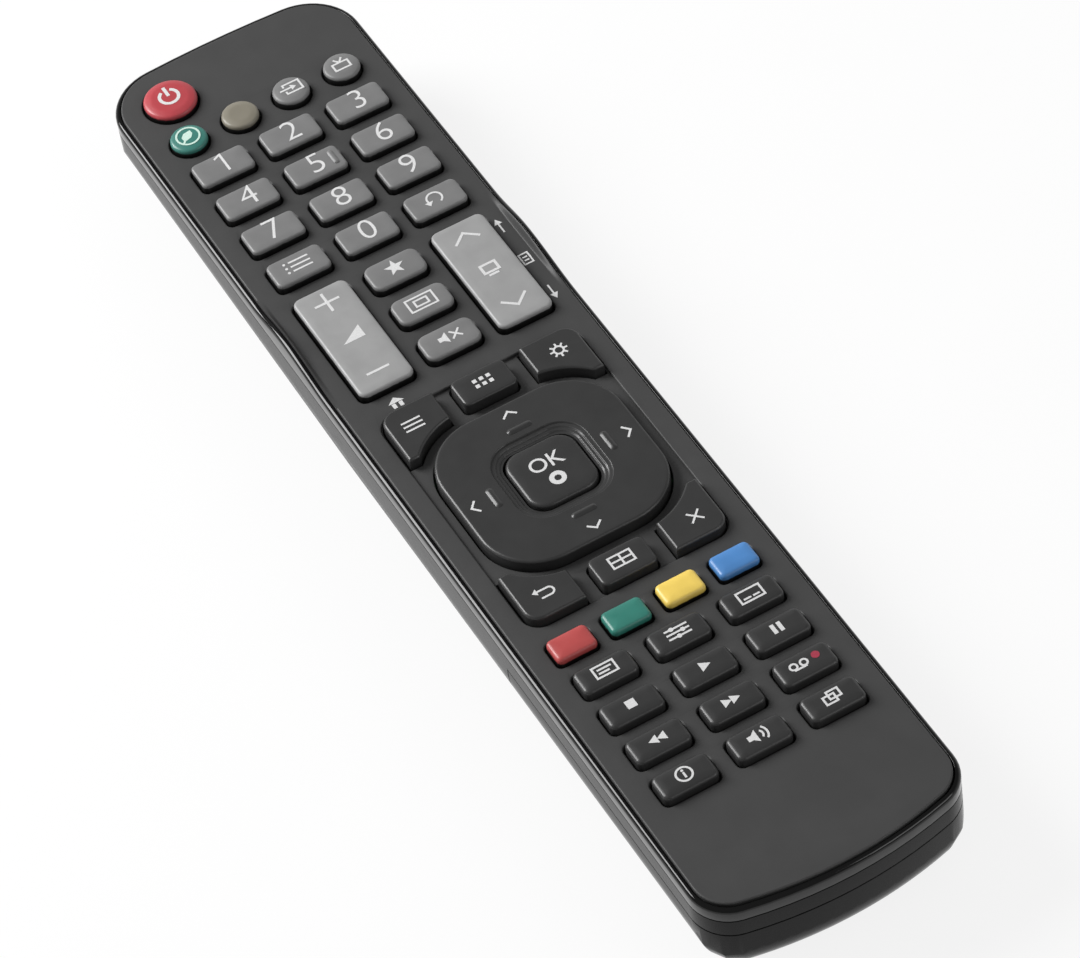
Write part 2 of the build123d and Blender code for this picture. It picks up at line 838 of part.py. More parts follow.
# A leaf spring pressed up against the flat end of a cell, from the bay wall it stands on
def leaf_spring(x, wall_y, side):
    low_z = battery_z - contact_height / 2
    high_z = battery_z + contact_height / 2
    with BuildPart() as spring:
        with BuildSketch(Plane.YZ.offset(x - contact_width / 2)) as strip:
            with BuildLine():
                sheet_y = wall_y + side * contact_sheet / 2
                Polyline(
                    (sheet_y, low_z),
                    (sheet_y, high_z),
                    (sheet_y + side * contact_bulge, battery_z + contact_height / 4),
                    (sheet_y + side * contact_bulge, battery_z - contact_height / 4),
                    (sheet_y + side * contact_bulge / 2, low_z),
                )
            trace(line_width=contact_sheet)
        extrude(amount=contact_width)
    return spring.part


with BuildPart() as contact_springs:
    add(leaf_spring(-battery_pitch / 2, bay_near_y, 1))
    add(leaf_spring(battery_pitch / 2, bay_head_y, -1))
contact_springs.part.label = "contact_springs"
export_step(contact_springs.part, "parts/contact_springs.step")


# A flat plate with a dimple for the raised end of a cell
def contact_plate(x, wall_y, side):
    with BuildPart() as plate:
        with BuildSketch(Plane.XZ.offset(-wall_y)):
            with Locations((x, battery_z)):
                Rectangle(contact_width, contact_height)
        extrude(amount=-side * contact_sheet)
        with BuildSketch(Plane.XZ.offset(-wall_y - side * contact_sheet)):
            with Locations((x, battery_z)):
                Circle(dimple_radius)
        extrude(amount=-side * dimple_height)
    return plate.part


with BuildPart() as contact_plates:
    add(contact_plate(-battery_pitch / 2, bay_head_y, -1))
    add(contact_plate(battery_pitch / 2, bay_near_y, 1))
contact_plates.part.label = "contact_plates"
export_step(contact_plates.part, "parts/contact_plates.step")


# Two screws up through the roof of the cover's space into the bosses of the face plate
with BuildPart() as housing_screws:
    with BuildSketch(Plane.XY.offset(roof_bottom_z)) as heads:
        with Locations((-screw_x, screw_y), (screw_x, screw_y)):
            Circle(screw_head_radius)
    extrude(amount=-screw_head_height)
    with BuildSketch(Plane.XY.offset(roof_bottom_z)) as shafts:
        with Locations((-screw_x, screw_y), (screw_x, screw_y)):
            Circle(screw_radius)
    extrude(amount=screw_length)
    with BuildSketch(Plane.XY.offset(roof_bottom_z - screw_head_height)) as slots:
        for turn in (0, 90):
            with Locations((-screw_x, screw_y), (screw_x, screw_y)):
                Rectangle(1.5 * screw_head_radius, screw_slot_width, rotation=turn)
    extrude(amount=screw_slot_depth, mode=Mode.SUBTRACT)
housing_screws.part.label = "housing_screws"
export_step(housing_screws.part, "parts/housing_screws.step")


# A plain key: its cap, the flange that keeps it under the plate, and its stem
def plain_key(key):
    with BuildPart() as cap:
        with BuildSketch(Plane.XY.offset(flange_top_z)):
            add(key["cap"])
        extrude(amount=key_top_z - flange_top_z)
        chamfer(cap.faces().sort_by(Axis.Z)[-1].edges(), key_edge)
        with BuildSketch(Plane.XY.offset(flange_bottom_z)):
            add(key["flange"])
        extrude(amount=flange_thickness)
        with BuildSketch(Plane.XY.offset(stem_bottom_z)):
            with Locations((key["x"], key["y"])):
                Rectangle(stem_width, stem_length)
        extrude(amount=flange_bottom_z - stem_bottom_z)
        if key["name"] == "digit_5_key":
            with BuildSketch(Plane.XY.offset(key_top_z)):
                with Locations((key["x"] + tactile_x, key["y"])):
                    Rectangle(tactile_width, tactile_length)
            extrude(amount=tactile_height)
    return cap.part


for key in plain_keys:
    cap = plain_key(key)
    cap.label = key["name"]
    export_step(cap, "parts/" + key["name"] + ".step")


# A rocker: a long cap on a round pivot that stands out on each side, with a stem at each end
def rocker(x):
    with BuildPart() as cap:
        with BuildSketch(Plane.XY.offset(flange_bottom_z)):
            add(
                rectangular_outline(x, rocker_y, digit_key_width, rocker_length, rocker_corner, 0)
            )
        extrude(amount=key_top_z - flange_bottom_z)
        chamfer(cap.faces().sort_by(Axis.Z)[-1].edges(), key_edge)
        with BuildSketch(Plane.YZ.offset(x)):
            with Locations((rocker_y, flange_bottom_z + flange_thickness / 2)):
                Circle(flange_thickness / 2)
        extrude(amount=digit_key_width / 2 + flange_width, both=True)
        with BuildSketch(Plane.XY.offset(stem_bottom_z)):
            for side in (-1, 1):
                with Locations((x, rocker_y + side * rocker_stem_offset)):
                    Rectangle(stem_width, stem_length)
        extrude(amount=flange_bottom_z - stem_bottom_z)
    return cap.part


for name, x in rocker_places.items():
    cap = rocker(x)
    cap.label = name
    export_step(cap, "parts/" + name + ".step")


# Direction ring: tilts four ways round the OK key, and carries a raised bar at each arrow
ring_bottom_z = board_top_z + ring_flange_gap
pad_inner_grow = rocker_clearance + ring_wall + pad_clearance
with BuildPart() as direction_ring:
    with BuildSketch(Plane.XY.offset(ring_bottom_z)):
        add(ring_outline(0))
    extrude(amount=key_top_z - ring_bottom_z)
    chamfer(direction_ring.faces().sort_by(Axis.Z)[-1].edges(), ring_edge)
    with BuildSketch(Plane.XY.offset(ring_bottom_z)):
        add(ring_outline(flange_width))
    extrude(amount=ring_flange_thickness)
    with BuildSketch(Plane.XY.offset(ring_bottom_z)):
        add(ok_outline(rocker_clearance))
    extrude(amount=key_top_z - ring_bottom_z, mode=Mode.SUBTRACT)
    with BuildSketch(Plane.XY.offset(ring_bottom_z)):
        add(ok_outline(pad_inner_grow + pad_width + pad_clearance))
        add(ok_outline(pad_inner_grow - pad_clearance), mode=Mode.SUBTRACT)
    extrude(amount=pad_thickness + pad_roof_gap, mode=Mode.SUBTRACT)
    dish_edges = direction_ring.faces().sort_by(Axis.Z)[-1].inner_wires()[0].edges()
    chamfer(dish_edges, ring_dish_depth, ring_dish_width)
    with BuildSketch(Plane.XY.offset(key_top_z)):
        for side in (-1, 1):
            with Locations((0, nav_y + side * ring_bar_offset)):
                Rectangle(ring_bar_length, ring_bar_width)
            with Locations((side * ring_bar_offset, nav_y)):
                Rectangle(ring_bar_width, ring_bar_length)
    extrude(amount=ring_bar_height)
direction_ring.part.label = "direction_ring"
export_step(direction_ring.part, "parts/direction_ring.step")


# OK key in the middle of the ring
with BuildPart() as ok_key:
    with BuildSketch(Plane.XY.offset(stem_bottom_z)):
        add(ok_outline(0))
    extrude(amount=key_top_z - stem_bottom_z)
    chamfer(ok_key.faces().sort_by(Axis.Z)[-1].edges(), ring_edge)
ok_key.part.label = "ok_key"
export_step(ok_key.part, "parts/ok_key.step")


# Rubber pad in the underside of the ring, which carries its contacts
with BuildPart() as navigation_pad:
    with BuildSketch(Plane.XY.offset(ring_bottom_z)):
        add(ok_outline(pad_inner_grow + pad_width))
        add(ok_outline(pad_inner_grow), mode=Mode.SUBTRACT)
    extrude(amount=pad_thickness)
navigation_pad.part.label = "navigation_pad"
export_step(navigation_pad.part, "parts/navigation_pad.step")
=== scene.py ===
# %% [markdown]
# # A universal remote control
# The CAD model gives the solids of this remote, and this script dresses them. It rounds the edges that
# catch the light, rebuilds the key caps with soft edges, prints the signs, and gives every piece its
# plastic, rubber or metal. The frame holds one object for each node of the model, and each rides on one of
# the bodies. Everything is in metres, with the origin on the ground under the middle of the handset and +Y
# towards its head.

# %% Load the frame
import json
import math

import bmesh
import bpy
from mathutils import Matrix, Vector

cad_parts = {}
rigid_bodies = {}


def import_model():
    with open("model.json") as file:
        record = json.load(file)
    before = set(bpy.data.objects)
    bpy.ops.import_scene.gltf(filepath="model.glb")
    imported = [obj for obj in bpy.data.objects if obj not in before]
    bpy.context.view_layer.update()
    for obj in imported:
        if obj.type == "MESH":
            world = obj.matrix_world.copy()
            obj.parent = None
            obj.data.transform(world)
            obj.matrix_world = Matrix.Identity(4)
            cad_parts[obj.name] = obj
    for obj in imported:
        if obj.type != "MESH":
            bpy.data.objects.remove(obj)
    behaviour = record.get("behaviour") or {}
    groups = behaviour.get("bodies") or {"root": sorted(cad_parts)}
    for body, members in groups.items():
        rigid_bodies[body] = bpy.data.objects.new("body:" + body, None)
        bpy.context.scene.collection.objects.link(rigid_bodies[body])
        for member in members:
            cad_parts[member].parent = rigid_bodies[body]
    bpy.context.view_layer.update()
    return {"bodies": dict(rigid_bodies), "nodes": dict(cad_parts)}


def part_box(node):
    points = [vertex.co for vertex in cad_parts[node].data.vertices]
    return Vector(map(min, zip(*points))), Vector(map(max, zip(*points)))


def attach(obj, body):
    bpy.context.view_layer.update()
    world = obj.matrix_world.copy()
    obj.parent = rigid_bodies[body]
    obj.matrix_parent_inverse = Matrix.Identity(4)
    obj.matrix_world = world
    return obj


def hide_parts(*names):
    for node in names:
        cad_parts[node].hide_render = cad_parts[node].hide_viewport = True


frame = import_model()
scene = bpy.context.scene
scene.view_settings.view_transform = "Standard"
MM = 0.001

# %% [markdown]
# ## The camera
# A long lens from about 0.8 m flattens the perspective, as in a catalogue picture. The three axes say how
# the camera is turned: the first points to the right of the picture, the second up, and the third back to
# the lens.

# %% Camera
lens_place = Vector((-0.1906, -0.4779, 0.6015))
picture_right = Vector((0.8661, -0.4883, -0.1073))
picture_up = Vector((0.4354, 0.6312, 0.6419))
picture_back = Vector((-0.2457, -0.6026, 0.7592))
camera_data = bpy.data.cameras.new("camera")
camera_data.lens = 155.08
camera_data.sensor_width = 36.0
camera_data.clip_start = 0.05
camera_data.clip_end = 20.0
camera = bpy.data.objects.new("camera", camera_data)
scene.collection.objects.link(camera)
turn = Matrix((picture_right, picture_up, picture_back)).transposed()
camera.matrix_world = Matrix.Translation(lens_place) @ turn.to_4x4()
scene.camera = camera
print("camera height in m:", round(lens_place.z, 3))

# %% [markdown]
# ## Small helpers for colours and patterns
# The sky, the floor and every finish are built from the same few nodes: a noise pattern, a stretched range,
# a mix of two colours, a little arithmetic and a bump. These helpers keep that short. Patterns lie on the
# piece's own Object coordinates, so they stay on it when it moves. Colours are written as they look on a
# screen and turned into the linear values that the shader needs.


# %% Node helpers
def screen_colour(code):
    channels = [int(code[i : i + 2], 16) / 255 for i in (0, 2, 4)]
    linear = [c / 12.92 if c <= 0.04045 else ((c + 0.055) / 1.055) ** 2.4 for c in channels]
    return (*linear, 1.0)


def shade(colour, factor):
    return (*[min(1.0, c * factor) for c in colour[:3]], 1.0)


def feed(tree, socket, value):
    if isinstance(value, bpy.types.NodeSocket):
        tree.links.new(value, socket)
    else:
        socket.default_value = value


def arithmetic(tree, operation, *values):
    node = tree.nodes.new("ShaderNodeMath")
    node.operation = operation
    for socket, value in zip(node.inputs, values):
        feed(tree, socket, value)
    return node.outputs[0]


def axis_of(tree, place, axis):
    parts = tree.nodes.new("ShaderNodeSeparateXYZ")
    tree.links.new(place, parts.inputs[0])
    return parts.outputs[axis]


def noise(tree, place, size, detail=3.0, stretch=(1, 1, 1)):
    mapping = tree.nodes.new("ShaderNodeMapping")
    mapping.inputs["Scale"].default_value = [s / (size * MM) for s in stretch]
    texture = tree.nodes.new("ShaderNodeTexNoise")
    texture.inputs["Scale"].default_value = 1.0
    texture.inputs["Detail"].default_value = detail
    tree.links.new(place, mapping.inputs["Vector"])
    tree.links.new(mapping.outputs["Vector"], texture.inputs["Vector"])
    return texture.outputs["Fac"]


def spread(tree, value, low, high, start=0.35, end=0.65):
    node = tree.nodes.new("ShaderNodeMapRange")
    for name, number in zip(("From Min", "From Max", "To Min", "To Max"), (start, end, low, high)):
        node.inputs[name].default_value = number
    tree.links.new(value, node.inputs["Value"])
    return node.outputs["Result"]


def mix_colours(tree, factor, first, second):
    node = tree.nodes.new("ShaderNodeMix")
    node.data_type = "RGBA"
    for number, value in ((0, factor), (6, first), (7, second)):
        feed(tree, node.inputs[number], value)
    return node.outputs[2]


def mottled(tree, place, size, code, darker, lighter):
    colour = screen_colour(code)
    tone = spread(tree, noise(tree, place, size), 0.0, 1.0)
    return mix_colours(tree, tone, shade(colour, darker), shade(colour, lighter))


def coat(tree, shader, colour, roughness):
    tree.links.new(colour, shader.inputs["Base Color"])
    tree.links.new(roughness, shader.inputs["Roughness"])


def bump(tree, shader, height, depth, below=None):
    node = tree.nodes.new("ShaderNodeBump")
    node.inputs["Distance"].default_value = depth * MM
    tree.links.new(height, node.inputs["Height"])
    if below is not None:
        tree.links.new(below, node.inputs["Normal"])
    tree.links.new(node.outputs["Normal"], shader.inputs["Normal"])
    return node.outputs["Normal"]


def new_finish(name):
    material = bpy.data.materials.new(name + "_finish")
    material.use_nodes = True
    tree = material.node_tree
    place = tree.nodes.new("ShaderNodeTexCoord").outputs["Object"]
    return material, tree, tree.nodes["Principled BSDF"], place


print("mid grey in linear light:", round(screen_colour("808080")[0], 3))

# %% [markdown]
# ## The studio
# Black plastic shows its shape only by what it mirrors. The sky of this studio is white at the horizon
# behind and to the right, and grey overhead, in front and to the left. A flat top and the edges towards the
# camera then stay dark, and the far edges pick up a bright line.

# %% Sky
world = bpy.data.worlds.new("studio_sky")
scene.world = world
world.use_nodes = True
sky = world.node_tree
direction = sky.nodes.new("ShaderNodeTexCoord").outputs["Generated"]
height_ramp = sky.nodes.new("ShaderNodeValToRGB")
for element, position, tone in zip(height_ramp.color_ramp.elements, (0.12, 0.62), (1.0, 0.30)):
    element.position = position
    element.color = (tone, tone, tone, 1.0)
sky.links.new(axis_of(sky, direction, "Z"), height_ramp.inputs["Fac"])
sideways = sky.nodes.new("ShaderNodeVectorMath")
sideways.operation = "DOT_PRODUCT"
sideways.inputs[1].default_value = (0.8, 0.6, 0.0)
sky.links.new(direction, sideways.inputs[0])
far_right = spread(sky, sideways.outputs["Value"], 0.0, 1.0, -0.05, 0.45)
plain_grey = (0.36, 0.36, 0.36, 1.0)
sky_colour = mix_colours(sky, far_right, plain_grey, height_ramp.outputs["Color"])
background = sky.nodes["Background"]
background.inputs["Strength"].default_value = 0.85
sky.links.new(sky_colour, background.inputs["Color"])
print("sky: white at the far right horizon, grey elsewhere")

# %% [markdown]
# ## The lamps
# A lamp with a large face gives soft shadows, and gloss plastic mirrors it as a broad soft line. The big
# one stands far left and draws a thin white line along the left edge, and a weaker one fills in from the
# near right. A lamp shines along its own -Z, so its +Z is turned away from the remote, towards its own
# place.


# %% Lamps
def soft_lamp(name, place, size, watts):
    lamp_data = bpy.data.lights.new(name, "AREA")
    lamp_data.shape = "RECTANGLE"
    lamp_data.size, lamp_data.size_y = size
    lamp_data.energy = watts
    lamp = bpy.data.objects.new(name, lamp_data)
    scene.collection.objects.link(lamp)
    lamp.location = place
    lamp.rotation_mode = "QUATERNION"
    lamp.rotation_quaternion = Vector(place).to_track_quat("Z", "Y")
    print("lamp", name, watts, "W")


soft_lamp("key_lamp", (-0.58, 0.64, 0.60), (0.50, 0.60), 14.0)
soft_lamp("fill_lamp", (0.55, -0.75, 0.60), (0.60, 0.40), 2.0)

# %% [markdown]
# ## The floor
# The floor is a sheet of white board. Its colour comes partly from light that it gives to the camera and to
# reflections, so it stays pale without more lamps, and partly from a plain matt surface, which keeps the
# shadow.

# %% Floor
FLOOR_SIDE = 6.0
FLOOR_DROP = 0.05 * MM
GLOW_SHARE = 0.84
floor_mesh = bmesh.new()
bmesh.ops.create_grid(floor_mesh, x_segments=1, y_segments=1, size=FLOOR_SIDE / 2)
bmesh.ops.translate(floor_mesh, verts=floor_mesh.verts, vec=(0, 0, -FLOOR_DROP))
floor_data = bpy.data.meshes.new("floor")
floor_mesh.to_mesh(floor_data)
floor_mesh.free()
floor = bpy.data.objects.new("floor", floor_data)
scene.collection.objects.link(floor)

floor_material, tree, board, place = new_finish("white_board")
board.inputs["Roughness"].default_value = 0.9
grain = noise(tree, place, 25, 2.0)
board_tone = mix_colours(tree, grain, (0.86, 0.86, 0.86, 1), (0.90, 0.90, 0.90, 1))
tree.links.new(board_tone, board.inputs["Base Color"])
rays = tree.nodes.new("ShaderNodeLightPath").outputs
seen = arithmetic(tree, "MAXIMUM", rays["Is Camera Ray"], rays["Is Glossy Ray"])
seen = arithmetic(tree, "MAXIMUM", seen, rays["Is Transmission Ray"])
glow = tree.nodes.new("ShaderNodeEmission")
glow.inputs["Strength"].default_value = 1.0
shaders = tree.nodes.new("ShaderNodeMixShader")
tree.links.new(arithmetic(tree, "MULTIPLY", seen, GLOW_SHARE), shaders.inputs["Fac"])
tree.links.new(board.outputs["BSDF"], shaders.inputs[1])
tree.links.new(glow.outputs["Emission"], shaders.inputs[2])
tree.links.new(shaders.outputs["Shader"], tree.nodes["Material Output"].inputs["Surface"])
floor_data.materials.append(floor_material)
print("floor side in m:", FLOOR_SIDE)

# %% [markdown]
# ## Moulded plastic
# The face is a satin black plastic: the steel mould was etched, which leaves a grain about a fifth of a
# millimetre across. The rim and the back are polished, with a faint waviness where the plastic shrank and a
# few hairline scratches. One function makes both, from the size and depth of the grain.


def plastic(name, code, roughness, grain_size, grain_depth, mottle=0.06, scratches=0.0, shine=0.5):
    material, tree, shader, place = new_finish(name)
    shader.inputs["Specular IOR Level"].default_value = shine
    base = mottled(tree, place, 9, code, 1 - mottle, 1 + mottle)
    dull = spread(tree, noise(tree, place, 2.2), roughness * 0.95, roughness * 1.05)
    if scratches:
        fine = noise(tree, place, 0.35, 1.0, (1.0, 0.035, 1.0))
        dull = arithmetic(tree, "ADD", dull, spread(tree, fine, 0.0, scratches, 0.66, 0.72))
    coat(tree, shader, base, dull)
    waves = bump(tree, shader, noise(tree, place, 14, 1.0), 0.008)
    bump(tree, shader, noise(tree, place, grain_size, 2.0), grain_depth, waves)
    return material


plate_satin = plastic("plate_satin", "3F3F3F", 0.52, 0.20, 0.006, 0.05, 0.0, 0.36)
rim_gloss = plastic("housing_gloss", "060606", 0.07, 0.9, 0.0008, 0.1, 0.12, 0.34)
back_gloss = plastic("housing_lower", "0C0C0C", 0.20, 0.45, 0.0016, 0.08, 0.10, 0.12)
print("plastics:", plate_satin.name, rim_gloss.name, back_gloss.name)

# %% [markdown]
# ## Sprayed keys
# Keys like these are black rubber with hard caps. The grey and coloured caps are sprayed from above, so
# their sides stay nearly black below the rounded edge. The paint line is found by height, and a little
# noise makes it uneven as spray does.

# %% Key finish
key_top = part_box("digit_2_key")[1].z
SPRAY_DEPTH = 0.75
SPRAY_FADE = 0.25 * MM


def sprayed(name, code, roughness, line):
    material, tree, shader, place = new_finish(name)
    paint = mottled(tree, place, 5, code, 0.95, 1.05)
    height = axis_of(tree, place, "Z")
    uneven = arithmetic(tree, "MULTIPLY_ADD", noise(tree, place, 0.8), 0.3 * MM, height)
    painted = spread(tree, uneven, 0.0, 1.0, line, line + SPRAY_FADE)
    base = mix_colours(tree, painted, screen_colour("121212"), paint)
    dull = spread(tree, noise(tree, place, 1.4), roughness * 0.85, roughness * 1.15)
    coat(tree, shader, base, dull)
    bump(tree, shader, noise(tree, place, 0.16, 2.0), 0.005)
    return material


dark = plastic("key_dark", "303030", 0.36, 0.18, 0.004)
key_finishes = {"key_dark": dark}
for name, code, roughness, lower in (
    ("key_grey", "767676", 0.42, 0.0), ("key_light", "979797", 0.40, 0.0),
    ("key_power_red", "B14148", 0.36, 0.2), ("key_teal", "3A7A70", 0.36, 0.2),
    ("key_beige", "817C6F", 0.36, 0.2), ("key_red", "B24B4A", 0.34, 0.4),
    ("key_green", "347D70", 0.34, 0.4), ("key_yellow", "ECCC62", 0.34, 0.4),
    ("key_blue", "4D85C3", 0.34, 0.4),
):
    key_finishes[name] = sprayed(name, code, roughness, key_top - (SPRAY_DEPTH + lower) * MM)
print("key finishes:", len(key_finishes), "paint reaches down in mm:", SPRAY_DEPTH)

# %% [markdown]
# ## Ink
# The signs are printed mostly in white ink that is a little thinner in places, so its colour and its
# roughness both change within a quarter of a millimetre.


# %% Inks
def ink(name, code):
    material, tree, shader, place = new_finish(name)
    colour = screen_colour(code)
    cover = spread(tree, noise(tree, place, 0.25, 4.0), 0.0, 1.0)
    base = mix_colours(tree, cover, shade(colour, 0.86), colour)
    coat(tree, shader, base, spread(tree, cover, 0.62, 0.45, 0.0, 1.0))
    bump(tree, shader, noise(tree, place, 0.12), 0.004)
    return material


ink_colours = {"white": "DEDEDE", "soft": "DCDCDC", "mint": "CDE8DC", "red": "A8344A"}
inks = {name: ink("ink_" + name, code) for name, code in ink_colours.items()}
print("inks:", list(inks))

# %% [markdown]
# ## Finishing a piece
# A piece starts as a bmesh. This step turns it into an object at the origin, smooths the shading over round
# edges and keeps it crisp at sharp ones. Weighted normals let the big flat faces keep their own direction,
# so only the narrow rounded edges bend the light.

# %% Finish a piece
empty_names = {empty.name: name for name, empty in frame["bodies"].items()}
body_of_node = {name: empty_names[node.parent.name] for name, node in frame["nodes"].items()}


def finish_piece(mesh, name, body, material, stands_for=None, crisp=50):
    data = bpy.data.meshes.new(name)
    mesh.to_mesh(data)
    mesh.free()
    data.materials.append(material)
    data.shade_smooth()
    data.set_sharp_from_angle(angle=math.radians(crisp))
    piece = bpy.data.objects.new(name, data)
    scene.collection.objects.link(piece)
    even = piece.modifiers.new("even_shading", "WEIGHTED_NORMAL")
    even.keep_sharp = True
    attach(piece, body)
    if stands_for:
        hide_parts(stands_for)


def sized(place, width, length, height=1.0):
    return Matrix.Translation(place) @ Matrix.Diagonal((width, length, height, 1))


def turn_outward(mesh):
    bmesh.ops.recalc_face_normals(mesh, faces=mesh.faces)


def merged(data, nearness):
    mesh = bmesh.new()
    mesh.from_mesh(data)
    bmesh.ops.remove_doubles(mesh, verts=mesh.verts, dist=nearness)
    return mesh


def curve_mesh(curve):
    holder = bpy.data.objects.new(curve.name, curve)
    scene.collection.objects.link(holder)
    graph = bpy.context.evaluated_depsgraph_get()
    data = bpy.data.meshes.new_from_object(holder.evaluated_get(graph))
    bpy.data.objects.remove(holder)
    return data


print("bodies of the first nodes:", dict(list(body_of_node.items())[:3]))

# %% [markdown]
# ## Rounding the edges of the housings
# A moulded edge is never razor sharp: it has a radius of about a tenth of a millimetre, and that radius
# draws the thin bright line along it. A copy of the CAD mesh is merged, its flat triangles are joined into
# whole faces, and every edge sharper than a set angle gets a small bevel.


# %% Rounded copies
def rounded_node(node, radius, material, steps=2, sharp=28):
    mesh = merged(frame["nodes"][node].data, 1e-6)
    flat = math.radians(0.5)
    bmesh.ops.dissolve_limit(mesh, angle_limit=flat, verts=mesh.verts, edges=mesh.edges)
    limit = math.radians(sharp)
    edges = [e for e in mesh.edges if e.is_manifold and e.calc_face_angle(0) > limit]
    bmesh.ops.bevel(
        mesh, geom=edges, offset=radius, offset_type="OFFSET", segments=steps, profile=0.5,
        affect="EDGES", material=-1, loop_slide=True,
    )
    print(node, "rounded edges:", len(edges), "faces:", len(mesh.faces))
    finish_piece(mesh, node + "_rounded", body_of_node[node], material, node)


rounded_node("lower_housing", 0.13 * MM, back_gloss)
rounded_node("battery_cover", 0.13 * MM, back_gloss)

# %% [markdown]
# ## Shapes for the caps
# Each cap starts as one flat face with the cap's outline. It is pulled up, and then stepped in and up along
# a quarter circle, which makes the rounded edge. The pillow of the top comes from steps that shrink the
# face towards its middle, because a face that is inset further than its corner radius turns its corners
# inside out.


# %% Cap helpers
def outline_face(mesh, place, width, length, corner, steps=5):
    known = set(mesh.faces)
    shape = sized(place, width, length)
    grid = bmesh.ops.create_grid(mesh, x_segments=1, y_segments=1, size=0.5, matrix=shape)
    bmesh.ops.bevel(
        mesh, geom=grid["verts"], offset=corner, offset_type="OFFSET", segments=steps, profile=0.5,
        affect="VERTICES", material=-1,
    )
    return next(face for face in mesh.faces if face not in known)


def round_face(mesh, place, radius):
    at_place = Matrix.Translation(place)
    bmesh.ops.create_circle(mesh, cap_ends=True, segments=48, radius=radius, matrix=at_place)
    return next(iter(mesh.faces))


def pull_up(mesh, face, height):
    alone = all(edge.is_boundary for edge in face.edges)
    made = bmesh.ops.extrude_face_region(mesh, geom=[face])
    if not alone:
        bmesh.ops.delete(mesh, geom=[face], context="FACES_ONLY")
    top = next(item for item in made["geom"] if isinstance(item, bmesh.types.BMFace))
    bmesh.ops.translate(mesh, verts=top.verts, vec=(0, 0, height))
    return top


def step_in(mesh, face, inward, rise):
    bmesh.ops.inset_region(
        mesh, faces=[face], thickness=inward, depth=0, use_even_offset=True, use_boundary=True
    )
    bmesh.ops.translate(mesh, verts=face.verts, vec=(0, 0, rise))


def round_over(mesh, face, radius, steps=4):
    for step in range(steps):
        before, after = (math.pi / 2 * (step + n) / steps for n in (0, 1))
        inward = radius * (math.cos(before) - math.cos(after))
        step_in(mesh, face, inward, radius * (math.sin(after) - math.sin(before)))


def pillow(mesh, face, inward, rise):
    top = pull_up(mesh, face, rise)
    middle = top.calc_center_median()
    reach = [max(abs(v.co[axis] - middle[axis]) for v in top.verts) for axis in (0, 1)]
    factors = ((reach[0] - inward) / reach[0], (reach[1] - inward) / reach[1], 1)
    bmesh.ops.scale(mesh, verts=top.verts, vec=factors, space=Matrix.Translation(-middle))
    return top


def close_below(mesh, floor, low):
    base = [face for face in mesh.faces if all(abs(v.co.z - low) < 1e-7 for v in face.verts)]
    bmesh.ops.delete(mesh, geom=list({floor, *base}), context="FACES_ONLY")
    bmesh.ops.bridge_loops(mesh, edges=[e for e in mesh.edges if e.is_boundary])


def block(mesh, low, high):
    low, high = Vector(low), Vector(high)
    bmesh.ops.create_cube(mesh, size=1.0, matrix=sized((low + high) / 2, *(high - low)))


print("height of the key tops in mm:", round(key_top / MM, 2))

# %% [markdown]
# ## Outlines from the CAD model
# The plate and the rim follow outlines with slightly arched ends, and the plate has forty-five openings,
# because the OK key shares that of the ring. These loops are read from the sharp edges of the CAD solid at
# one height, so they fit it exactly. Two more loops there are the posts for the screws, which stay out. The
# CAD model cuts the corners of the small openings straight; here each becomes a true rounded corner of
# about the same size.


# %% Read the loops
def cad_loops(node, height):
    mesh = merged(frame["nodes"][node].data, 1e-6)
    level = [
        e for e in mesh.edges
        if all(abs(v.co.z - height) < 2e-6 for v in e.verts) and e.calc_face_angle(0) > 0.5
    ]
    neighbours = {}
    for edge in level:
        first, second = edge.verts
        neighbours.setdefault(first, []).append(second)
        neighbours.setdefault(second, []).append(first)
    loops = []
    while neighbours:
        here = next(iter(neighbours))
        loop = []
        while here in neighbours:
            loop.append(here.co.copy())
            onward = neighbours.pop(here)
            here = next((v for v in onward if v in neighbours), None)
        loops.append(loop)
    mesh.free()
    return loops


def span(loop):
    xs, ys = [v.x for v in loop], [v.y for v in loop]
    return min(xs), min(ys), max(xs), max(ys)


def longest(loops):
    return max(loops, key=lambda loop: span(loop)[3] - span(loop)[1])


def drawn_outline(x, y, width, length, corner, steps=6):
    mesh = bmesh.new()
    face = outline_face(mesh, Vector((x, y, 0)), width, length, corner, steps)
    loop = [v.co.copy() for v in face.verts]
    mesh.free()
    return loop


PLATE_LOW, PLATE_HIGH = 17.1 * MM, 19.1 * MM
POSTS_BELOW_Y, POST_WIDTH = -90 * MM, 6 * MM
CUT_CORNERS = 8
CORNER_SHARE = 1.7
plate_loops = sorted(cad_loops("face_plate", PLATE_LOW), key=lambda loop: span(loop)[1])
plate_outline = longest(plate_loops)
openings = []
for loop in plate_loops:
    x0, y0, x1, y1 = span(loop)
    if loop is plate_outline or (y1 < POSTS_BELOW_Y and x1 - x0 < POST_WIDTH):
        continue
    if len(loop) == CUT_CORNERS:
        cut = min((a - b).length for a, b in zip(loop, loop[1:] + loop[:1])) / math.sqrt(2)
        middle = ((x0 + x1) / 2, (y0 + y1) / 2)
        loop = drawn_outline(*middle, x1 - x0, y1 - y0, CORNER_SHARE * cut)
    openings.append(loop)
print("loops read:", len(plate_loops), "openings kept:", len(openings))

# %% [markdown]
# ## The face plate
# A flat curve with one outer loop and a loop for each hole is Blender's own way to fill a plate with
# openings, and its bevel rounds every edge at once. Two such plates make the face: the main one, with a
# large hole for the well of the menu cluster, and the floor of the well, six tenths of a millimetre lower.


